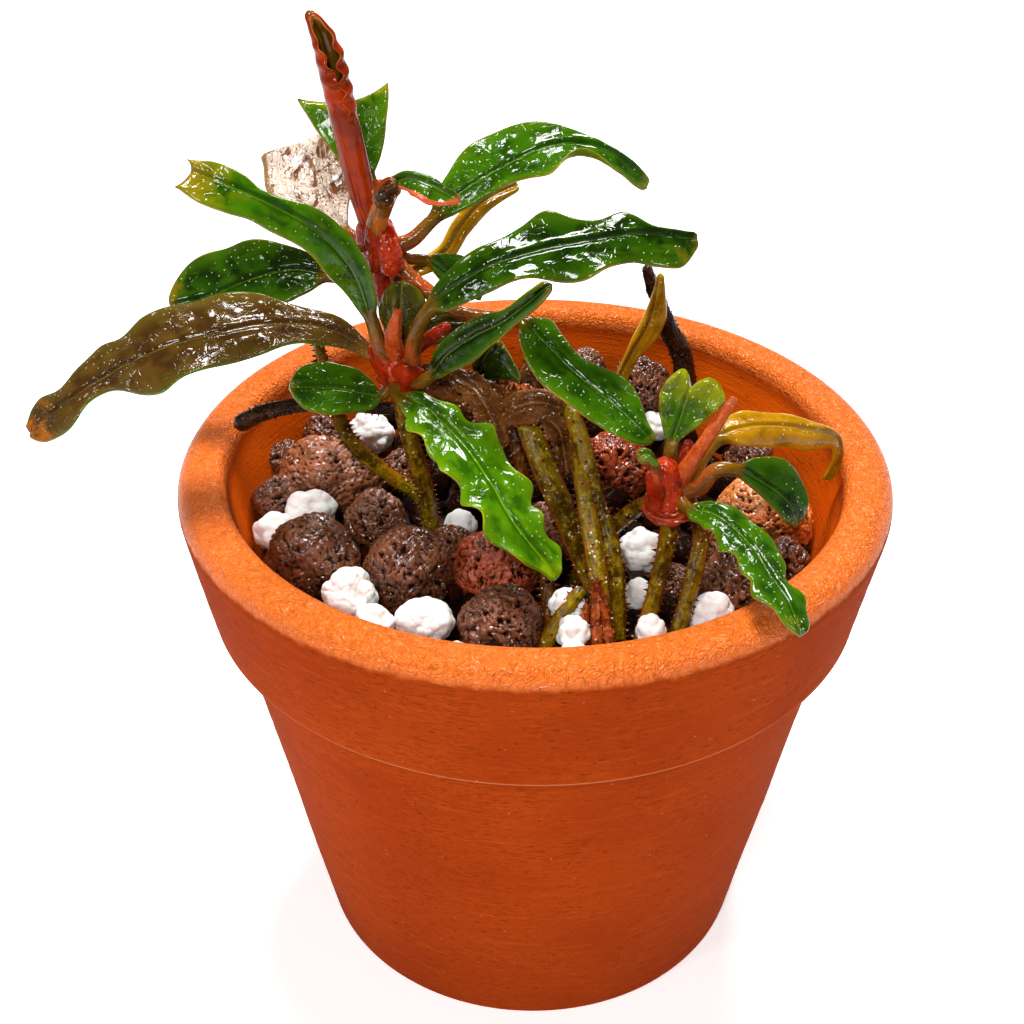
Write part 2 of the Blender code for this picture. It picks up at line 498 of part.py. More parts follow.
def build_stone(stone, collection, grow=0.0):
    """A lava stone or a perlite lump where it lies."""
    made = add_object(stone.name, stone_mesh(stone, grow), stone.tone, collection)
    made.location = Vector(stone.centre) * MM
    return made


def stem_curve(stem, grow=0.0):
    """A round stem as a bevelled curve with a radius at each point."""
    curve = bpy.data.curves.new(stem.name, "CURVE")
    curve.dimensions = "3D"
    curve.bevel_depth = MM
    curve.bevel_resolution = 2 if max(stem.radii) > THIN_STEM else 1
    curve.resolution_u = 2
    curve.use_fill_caps = True
    spline = curve.splines.new("BEZIER")
    spline.bezier_points.add(len(stem.points) - 1)
    for knot, place, radius in zip(spline.bezier_points, stem.points, stem.radii):
        knot.co = Vector(place) * MM
        knot.radius = radius + grow
        knot.handle_left_type = "AUTO"
        knot.handle_right_type = "AUTO"
    return curve


def build_blade(blade, collection, grow=0.0):
    """A leaf or strap: a grid laid along its midrib and thickened."""
    surface = Surface(blade)
    mesh = bpy.data.meshes.new(blade.name)
    sheet = bmesh.new()
    bmesh.ops.create_grid(sheet, x_segments=blade.stations, y_segments=4, size=1.0)
    for vertex in sheet.verts:
        along = (vertex.co.x + 1) / 2
        across = -vertex.co.y
        vertex.co = surface.point(along, across * (1 + grow / surface.half_width(along, across))) * MM
    sheet.to_mesh(mesh)
    sheet.free()
    made = add_object(blade.name, mesh, blade.tone, collection)
    thicken = made.modifiers.new("thickness", "SOLIDIFY")
    thicken.thickness = (blade.thickness + 2 * grow) * MM
    thicken.offset = 0.0
    thicken.use_rim = True
    return made


def as_mesh(source, collection):
    """A mesh copy of an object as its modifiers and bevels leave it, with welded caps."""
    graph = bpy.context.evaluated_depsgraph_get()
    mesh = bpy.data.meshes.new_from_object(source.evaluated_get(graph))
    weld = bmesh.new()
    weld.from_mesh(mesh)
    bmesh.ops.remove_doubles(weld, verts=weld.verts, dist=0.00001)
    weld.to_mesh(mesh)
    weld.free()
    made = bpy.data.objects.new(source.name, mesh)
    made.matrix_world = source.matrix_world.copy()
    collection.objects.link(made)
    bpy.data.objects.remove(source)
    return made


def deepened(points):
    """The points of a stem with its lower end drawn out by the gap, for its socket."""
    end, after = Vector(points[0]), Vector(points[1])
    return (tuple(end + (end - after).normalized() * GAP),) + tuple(points[1:])


def build_bed(collection, cutters):
    """The granules below the stones, with a socket for each stone and stem that reaches in."""
    floor = FLOOR_THICKNESS + GAP
    mesh = bpy.data.meshes.new("mix_bed")
    cone = bmesh.new()
    bmesh.ops.create_cone(
        cone, cap_ends=True, segments=POT_SEGMENTS, depth=(BED_TOP_Z - floor) * MM,
        radius1=(FLOOR_RADIUS - FLOOR_CORNER - GAP) * MM, radius2=(inner_radius(BED_TOP_Z) - GAP) * MM)
    cone.to_mesh(mesh)
    cone.free()
    bed = add_object("mix_bed", mesh, BED, collection)
    bed.location.z = (floor + BED_TOP_Z) / 2 * MM

    for stone in STONES:
        build_stone(stone._replace(name="socket_" + stone.name), cutters, grow=GAP)
    for stem in STEMS:
        if stem.in_bed:
            deeper = stem._replace(points=deepened(stem.points))
            tube = add_object("socket_" + stem.name, stem_curve(deeper, GAP), stem.tone, cutters)
            bpy.context.view_layer.update()
            as_mesh(tube, cutters)
    for blade in BLADES:
        if blade.in_bed:
            deeper = blade._replace(name="socket_" + blade.name, midrib=deepened(blade.midrib))
            strap = build_blade(deeper, cutters, grow=GAP)
            bpy.context.view_layer.update()
            as_mesh(strap, cutters)

    for cutter in cutters.objects:
        cutter.hide_render = True
        cutter.display_type = "WIRE"
    sockets = bed.modifiers.new("sockets", "BOOLEAN")
    sockets.operation = "DIFFERENCE"
    sockets.operand_type = "COLLECTION"
    sockets.collection = cutters
    return bed


def world_bounds(collection):
    """The lowest and highest corners of everything in the collection, in metres."""
    graph = bpy.context.evaluated_depsgraph_get()
    low = Vector((math.inf,) * 3)
    high = Vector((-math.inf,) * 3)
    for member in collection.objects:
        if member.type == "EMPTY":
            continue
        shaped = member.evaluated_get(graph)
        mesh = shaped.to_mesh()
        for vertex in mesh.vertices:
            place = shaped.matrix_world @ vertex.co
            low = Vector([min(a, b) for a, b in zip(low, place)])
            high = Vector([max(a, b) for a, b in zip(high, place)])
        shaped.to_mesh_clear()
    return low, high


def main():
    for old in list(bpy.data.objects):
        bpy.data.objects.remove(old)
    plant = bpy.data.collections.new("potted_bucephalandra")
    cutters = bpy.data.collections.new("cutters")
    bpy.context.scene.collection.children.link(plant)
    bpy.context.scene.collection.children.link(cutters)

    build_pot(plant)
    for stone in STONES:
        build_stone(stone, plant)
    for stem in STEMS:
        add_object(stem.name, stem_curve(stem), stem.tone, plant)
    for blade in BLADES:
        build_blade(blade, plant)
    build_bed(plant, cutters)

    for member in plant.objects:
        if member.type == "MESH":
            member.data.shade_smooth()
            member.data.set_sharp_from_angle(angle=SMOOTH_ANGLE)

    stand = bpy.data.objects.new("stand", None)
    plant.objects.link(stand)
    bpy.context.view_layer.update()
    low, high = world_bounds(plant)
    for member in (*plant.objects, *cutters.objects):
        if member is not stand:
            member.parent = stand
    stand.location = (-(low.x + high.x) / 2, -(low.y + high.y) / 2, -low.z)
    bpy.context.view_layer.update()


main()
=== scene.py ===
"""Potted red velvet bucephalandra: the finish of every piece around its packed frame."""
import math
import random
from typing import NamedTuple

import bmesh
import bpy
import numpy as np
from bpy.props import FloatProperty, FloatVectorProperty, IntProperty, PointerProperty
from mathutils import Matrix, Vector, noise


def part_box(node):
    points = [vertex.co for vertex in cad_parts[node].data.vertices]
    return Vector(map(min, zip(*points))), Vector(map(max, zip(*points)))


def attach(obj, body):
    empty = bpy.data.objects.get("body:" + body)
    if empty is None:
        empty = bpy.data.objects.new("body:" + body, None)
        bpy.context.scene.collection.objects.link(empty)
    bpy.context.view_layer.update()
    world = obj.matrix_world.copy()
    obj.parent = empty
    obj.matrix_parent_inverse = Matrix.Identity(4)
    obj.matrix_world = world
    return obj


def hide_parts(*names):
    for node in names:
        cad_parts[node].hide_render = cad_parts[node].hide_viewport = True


bl_info = {
    "name": "Potted bucephalandra",
    "version": (1, 0, 0),
    "blender": (4, 5, 0),
    "location": "3D View > Sidebar > Bucephalandra",
    "description": "Leaves, stems, stones and terracotta pot of a small aquarium plant",
    "category": "Add Mesh",
}

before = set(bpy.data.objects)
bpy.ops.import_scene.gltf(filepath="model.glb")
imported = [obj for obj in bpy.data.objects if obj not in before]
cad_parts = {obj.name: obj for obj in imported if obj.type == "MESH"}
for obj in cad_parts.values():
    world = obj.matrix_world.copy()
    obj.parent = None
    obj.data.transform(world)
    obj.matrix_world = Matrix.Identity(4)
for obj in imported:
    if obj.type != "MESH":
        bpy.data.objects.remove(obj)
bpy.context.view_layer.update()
BODY = "root"
MM = 0.001
WHITE = (1.0, 1.0, 1.0, 1.0)

POT_LOW, POT_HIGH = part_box("pot")
POT_AXIS = Vector(((POT_LOW[0] + POT_HIGH[0]) / 2, (POT_LOW[1] + POT_HIGH[1]) / 2, 0.0))
RIM_RADIUS = (POT_HIGH[0] - POT_LOW[0]) / 2 / MM
POT_HEIGHT = POT_HIGH[2] / MM
LIP_WIDTH = 6.0
LIP_OUTER_ROUND = 2.4
LIP_INNER_ROUND = 1.6
LIP_UNDERCUT = 0.6
LIP_DEPTH = 3.4
COLLAR_BOTTOM_Z = 53.3
COLLAR_BOTTOM_RADIUS = 42.4
BODY_TOP_RADIUS = 39.7
FOOT_RADIUS = 30.1
EDGE_BEVEL = 0.7
FLOOR_THICKNESS = 6.0
FLOOR_RADIUS = 25.3
FLOOR_CORNER = 1.4
DRAIN_RADIUS = 5.0

CORE_SINK = 5.0
CORE_SEGMENTS = 96
FILL_REACH = 37.2
FILL_LEVEL = 61.0
WALL_LEAN = 0.21
FILL_CLEARANCE = 0.86
FILL_LAYERS = ((60.3, 61.2, 2.4, 4.2, 4000), (59.4, 60.6, 1.4, 2.4, 3000),
               (56.0, 57.5, 2.6, 4.2, 2500))
LEAST_STRETCH = 0.82
MOST_STRETCH = 1.12
PIT_RADIUS = 0.28
PIT_DEPTH = 0.8
LOBE_TRIES = 400
LOBE_GAP = 0.78
LOBE_BLEND = 22.0
CORE_SIZE = 0.70

LEAST_STEM_ROWS = 12
WART_DENSITY = 4.0e6
TOOTH_POINT = 0.00003
TOOTH_WIDTH = 0.40

LEAST_LEAF_ROWS = 24
LEAST_HALF_COLUMNS = 8
LEAST_HALF_WIDTH = 0.3
LEAST_TIP_ROUND = 0.5
ROOT_ROUND = 0.8
BLADE_START = 0.09
SCALLOP_DEPTH = 0.09
LEFT_WAVE_SHIFT = 0.37
MIDRIB_WIDTH = 0.9
MIDRIB_SWELL = 0.8
NOTCH_THINNING = 0.6
CROWN_LOW = (-16.3, -3.6, 85.6)
CROWN_HIGH = (-17.6, 0.5, 99.0)
CROWN_RIGHT = (15.9, -19.1, 77.6)

SOFTBOXES = (
    ("overhead", (-0.02, 0.06, 0.50), 0.09, (0.15, 0.12)),
    ("front", (-0.06, -0.40, 0.44), 0.09, (0.11, 0.11)),
    ("behind", (0.12, 0.42, 0.40), 0.09, (0.14, 0.07)),
    ("key", (-0.35, -0.35, 0.40), 0.06, (0.09, 0.09)),
)


class Stone(NamedTuple):
    """A lump: its centre and its three radii, in millimetres from the pot's axis."""

    name: str
    centre: tuple
    radii: tuple
    tone: str = "brown"


class Stalk(NamedTuple):
    """A stem, root or rolled shoot: points along its axis with a radius at each.

    flat is the depth of its section over its width, and face the way its flat side looks.
    """

    name: str
    finish: str
    points: tuple
    radii: tuple
    flat: float = 0.85
    face: tuple = (0.0, -1.0, 0.3)
    rough: float = 0.08


class Leaf(NamedTuple):
    """A leaf from its root in the crown to its tip, in millimetres from the pot's axis.

    right and left are half widths at even steps of the blade, seen from above with the tip
    ahead. face_root and face_tip are the ways its upper side looks. curl_right and curl_left
    turn the margins up, in degrees at even steps, and a leaf without curl_left has both as
    curl_right says. even_curl spreads the curl over the whole half. notch is how far the
    margins run past the midrib at the tip, or below 0 how far two round lobes do. stalk holds
    the petiole's radius at its root and at the blade, and scallops how many each margin has.
    """

    name: str
    finish: str
    root: tuple
    petiole: tuple
    midrib: tuple
    right: tuple
    left: tuple
    face_root: tuple
    face_tip: tuple
    ripple: float = 12.0
    waves: float = 4.0
    curl_right: tuple = (0.0, 0.0)
    curl_left: tuple = ()
    notch: float = 0.0
    stalk: tuple = (1.1, 0.8)
    even_curl: bool = False
    scallops: float = 0.0


def round_stones(*places):
    """Unnamed stones of one radius all round, from their centres and radii."""
    return tuple(Stone("", centre, (radius,) * 3) for centre, radius in places)


PEBBLES = (
    Stone("pebble_front_left", (-28, -9.3, 61.3), (5.9, 5.6, 5.4)),
    Stone("pebble_front_middle", (-15.5, -12, 61.3), (5.5, 5.5, 5.6)),
    Stone("pebble_left_wide", (-27.3, 8.6, 62), (7.4, 5, 5.2), "rust"),
    Stone("pebble_by_main_stem", (-20.3, -1.4, 61.2), (4.1, 4, 4.2)),
    Stone("pebble_red", (-5, -11.5, 61.4), (5.3, 5.2, 5.4), "red"),
    Stone("pebble_front_rim", (-4.3, -22.6, 61), (4.9, 4.7, 4.5)),
    Stone("pebble_back_middle", (11.2, 11.5, 61.8), (5, 4.8, 5), "red"),
    Stone("pebble_back_right", (15.3, 27.3, 65.5), (4.4, 4.3, 4.6)),
    Stone("pebble_back", (8, 30.5, 66), (3.3, 3.2, 3.4)),
    Stone("pebble_orange", (29.6, -1, 61.4), (6.5, 5.8, 5.8), "orange"),
    Stone("pebble_right_front", (25.4, -14.8, 61.2), (5, 4.8, 5)),
    Stone("pebble_centre", (2, -3, 61), (4.2, 4, 4.2), "rust"),
)

PERLITE = (
    Stone("perlite_left", (-28.8, -0.3, 62.6), (3.6, 2.7, 3)),
    Stone("perlite_front_left", (-22.5, -17.4, 61.8), (3.6, 3.5, 3.5)),
    Stone("perlite_front", (-13.2, -22.6, 61.6), (3.8, 3.1, 3.2)),
    Stone("perlite_centre", (13.4, -9, 62.2), (3.2, 3, 3)),
    Stone("perlite_right", (21, -21.7, 61.8), (2.9, 2.8, 2.9)),
    Stone("perlite_back_left", (-22.6, 19, 62.6), (3.6, 3.2, 3.2)),
)

SMALL_STONES = round_stones(
    ((-33.5, 3.2, 61.5), 3.4), ((-34, 12.5, 62), 2.8), ((-28.5, 18.5, 62.5), 3.3),
    ((-10.5, -5, 60.5), 2.6), ((30.8, -9.3, 61), 3.2), ((24.3, -6.4, 60.5), 2.6),
    ((17.2, -12.6, 60), 2.6), ((-18.5, 12, 60.8), 3), ((29.5, 12, 62), 3.6))

SMALL_PERLITE = round_stones(
    ((12.8, -15.2, 60), 2.2), ((4.3, -28.3, 60.5), 2.2), ((-19.2, -22.4, 61), 2.6),
    ((-9.6, -1.4, 60.8), 2.3), ((13.8, -28.6, 60.5), 1.8), ((-9.3, -27.6, 60.8), 1.5),
    ((6.8, 25, 63.5), 2), ((31.5, 17.5, 62.5), 2.5), ((17.5, 21, 62.5), 2.3)) + (
    Stone("", (-33, -3.9, 61.4), (3.2, 2.9, 2.9)),
    Stone("", (3.7, -21.2, 62.6), (2.3, 2.2, 2.6)),
    Stone("", (4.4, -25, 61.6), (2.2, 2.1, 2.4)),
    Stone("", (13.4, -25.4, 62.4), (1.9, 1.9, 2.1)))

STALKS = (
    Stalk("stem_main", "olive_warty", ((-13.3, 0.5, 57), (-13.9, -2, 66.7), (-15.5, -3, 75),
          (-16.2, -3.4, 82), (-16.3, -3.6, 84.6)), (1.1, 1.1, 1.15, 1.35, 1.6), 0.9),
    Stalk("stem_arch", "olive_warty", ((-13.6, 5.7, 57), (-15.6, 5.3, 61.5), (-19.6, 5, 65),
          (-23.8, 4, 70.5), (-25.4, 3, 77.1), (-26.8, 1.5, 86.5)), (1, 1, 1.05, 1, 0.9, 0.7), 0.9),
    Stalk("stem_middle", "olive", ((9.7, -22.2, 57), (9.2, -18.8, 67.5), (7, -14, 73.5),
          (5.2, -9.8, 79.5), (3.6, -5.6, 81.6)), (1.2, 1.15, 1.1, 1.1, 1.1), 0.6),
    Stalk("stem_broad", "olive", ((8.6, -20, 54), (7.9, -17, 59.7), (4.8, -14, 67.3),
          (1.7, -11, 74), (-0.7, -7.7, 79), (-1.8, -4.6, 80.8)), (1.1, 1.25, 1.45, 1.6, 1.5, 1.2),
          0.4, (0.2, -0.8, 0.5)),
    Stalk("root_left", "olive", ((0.3, -25.8, 55), (1.3, -24.4, 59.8), (3.6, -22.6, 63.3),
          (5.6, -20.8, 65.3)), (1, 1, 1, 0.8), 0.8),
    Stalk("root_inner", "rhizome", ((1.4, -20.4, 55), (1.5, -19.3, 59), (1.5, -17.2, 62),
          (1.4, -14.6, 64.6)), (0.9, 0.9, 0.9, 0.7), 0.8),
    Stalk("root_red", "red_stem", ((6.9, -27, 55), (7.2, -25.9, 60), (7, -23.8, 64),
          (7.1, -21.9, 67.5)), (1, 0.8, 0.65, 0.35), 0.8, rough=0.5),
    Stalk("strap_between", "olive_warty", ((4.5, -7.2, 80.6), (5.5, -13.6, 75.2),
          (6.3, -17.2, 71.9), (7.2, -20.8, 67.6), (7.7, -23.4, 63.2), (7.8, -25.2, 57.5)),
          (0.8, 1, 1.15, 1.15, 1, 0.9), 0.5),
    Stalk("root_red_left", "red_stem", ((5.9, -23.1, 64.8), (5.6, -24.6, 62.4), (5.5, -26, 60),
          (5.2, -26.8, 57)), (0.35, 0.55, 0.6, 0.6), 0.8, rough=0.5),
    Stalk("root_red_right", "red_stem", ((7.5, -22.2, 66.4), (8.1, -24, 64), (8.5, -26, 61.2),
          (8.7, -27, 57.5)), (0.30, 0.5, 0.6, 0.6), 0.8, rough=0.5),
    Stalk("stem_right", "olive", ((11.4, -27, 57), (14, -22.5, 66), (15.2, -20.3, 71.5),
          (15.6, -19.3, 75.4)), (1.05, 1, 1.05, 1.3), 0.65),
    Stalk("stem_right_back", "olive", ((15.3, -26.2, 57), (18.2, -21.4, 65.7), (19.4, -18.2, 71.5),
          (17.4, -17.8, 76.2)), (1.05, 1, 1, 0.8), 0.65),
    Stalk("root_link", "olive", ((5.2, -8.9, 57), (6.8, -10.2, 63), (9.1, -12, 67.4),
          (12.2, -14.2, 72.2), (14.9, -18, 76)), (1, 1, 1, 1, 0.8), 0.8),
    Stalk("rhizome", "rhizome", ((-15.2, -3, 83.4), (-12, -2.6, 83), (-8, -3, 81.2),
          (-3.6, -4.2, 80.4), (0.2, -5, 80.8), (4.4, -5.2, 79.6)), (1.5, 2.1, 2.4, 2.5, 2.6, 1.7),
          0.9, rough=0.3),
    Stalk("stub_thin", "rhizome", ((-3.4, -6, 80.2), (-2.2, -8.2, 76.8), (-1.4, -10.4, 72.6),
          (-0.6, -12.4, 68), (0.2, -14, 62)), (0.8, 0.7, 0.65, 0.65, 0.7), 0.8, rough=0.2),
    Stalk("stub_back", "rhizome", ((-9.6, -2.2, 80.6), (-8, -1, 76.4), (-6.6, 0.4, 71),
          (-5.6, 1.4, 62)), (1.2, 1, 0.9, 0.9), 0.8, rough=0.2),
    Stalk("dead_petiole", "dead", ((-16.6, -3.2, 79.4), (-20, -2.2, 79), (-25.4, -0.2, 78.4),
          (-30.6, 1.2, 77.2), (-35, 2.2, 75.4), (-38.2, 3, 73.2)), (0.8, 0.85, 0.9, 1, 1.1, 1.25),
          0.8),
    Stalk("dead_stem", "dead", ((22.3, 26, 58), (21.4, 27, 69.5), (18.7, 27, 75.6),
          (16.9, 26.5, 80.4), (15.3, 26, 85)), (1.6, 1.5, 1.3, 1.1, 0.7), 0.8, rough=0.2),
)

GROWTH = (
    Stalk("stem_upper", "red", ((-16.4, -3, 86.6), (-17, -1.8, 89.4), (-17.8, -0.6, 92.5),
          (-18.2, 0.1, 95.8), (-18.5, 0.4, 98.6), (-18.9, 0.5, 101.2), (-19.4, 0.5, 103.4)),
          (1.3, 1.2, 1.2, 1.35, 2.1, 2.4, 1.5), 0.95),
    Stalk("crown_low", "red", ((-16.3, -3.4, 82.8), (-16.3, -3.6, 84.4), (-16.3, -3.8, 86.2),
          (-16.4, -3.6, 88.4)), (1.6, 2.3, 2.7, 1.4), 0.97),
    Stalk("crown_right", "red", ((15, -19.6, 75.6), (14.9, -19.5, 76.8), (14.7, -19.4, 78.8),
          (14.7, -19.2, 80.8), (15, -19.1, 82.2)), (2.75, 2.5, 2.1, 1.7, 0.9), 0.95),
    Stalk("pouch_high", "red", ((-17.9, -0.8, 103), (-17.3, -1.9, 101), (-16.9, -2.5, 98.8),
          (-17.2, -2.2, 96.8)), (1, 1.5, 1.55, 0.9), 0.9, rough=0.12),
    Stalk("knob_curl", "dead", ((-17.6, -3.8, 106.3), (-17.3, -4.3, 107.3), (-16.6, -4.6, 108.5),
          (-15.4, -4.9, 109.2)), (0.9, 1.3, 1.2, 0.6), 0.9, rough=0.35),
    Stalk("bud_high", "red", ((-18.4, 1.4, 103.2), (-18, 1.6, 105.4), (-18.2, 1.6, 107.2)),
          (0.9, 0.8, 0.45), 0.9),
    Stalk("bud_right", "red", ((16.2, -18, 79.6), (17, -17.4, 81.6), (17.4, -17, 83.4)),
          (0.9, 0.8, 0.45), 0.9),
    Stalk("petiole_red", "red", ((-15.4, -3, 86.6), (-13, -1.8, 88.2), (-10.2, -0.9, 89.8)),
          (1, 0.8, 0.6), 0.8),
    Stalk("shoot_pink", "pink", ((-16.4, -4.2, 86.8), (-16.7, -5.2, 88.4), (-16.6, -6.6, 91.8),
          (-15.9, -7, 94.9)), (1.3, 1.2, 0.95, 0.4), 0.8),
    Stalk("spike_right", "pink", ((16.3, -19.1, 78.6), (16.7, -19.1, 80), (19, -18.5, 84),
          (21, -17.5, 87), (22.2, -17, 89)), (1.2, 1.05, 0.8, 0.66, 0.4), 0.9),
)

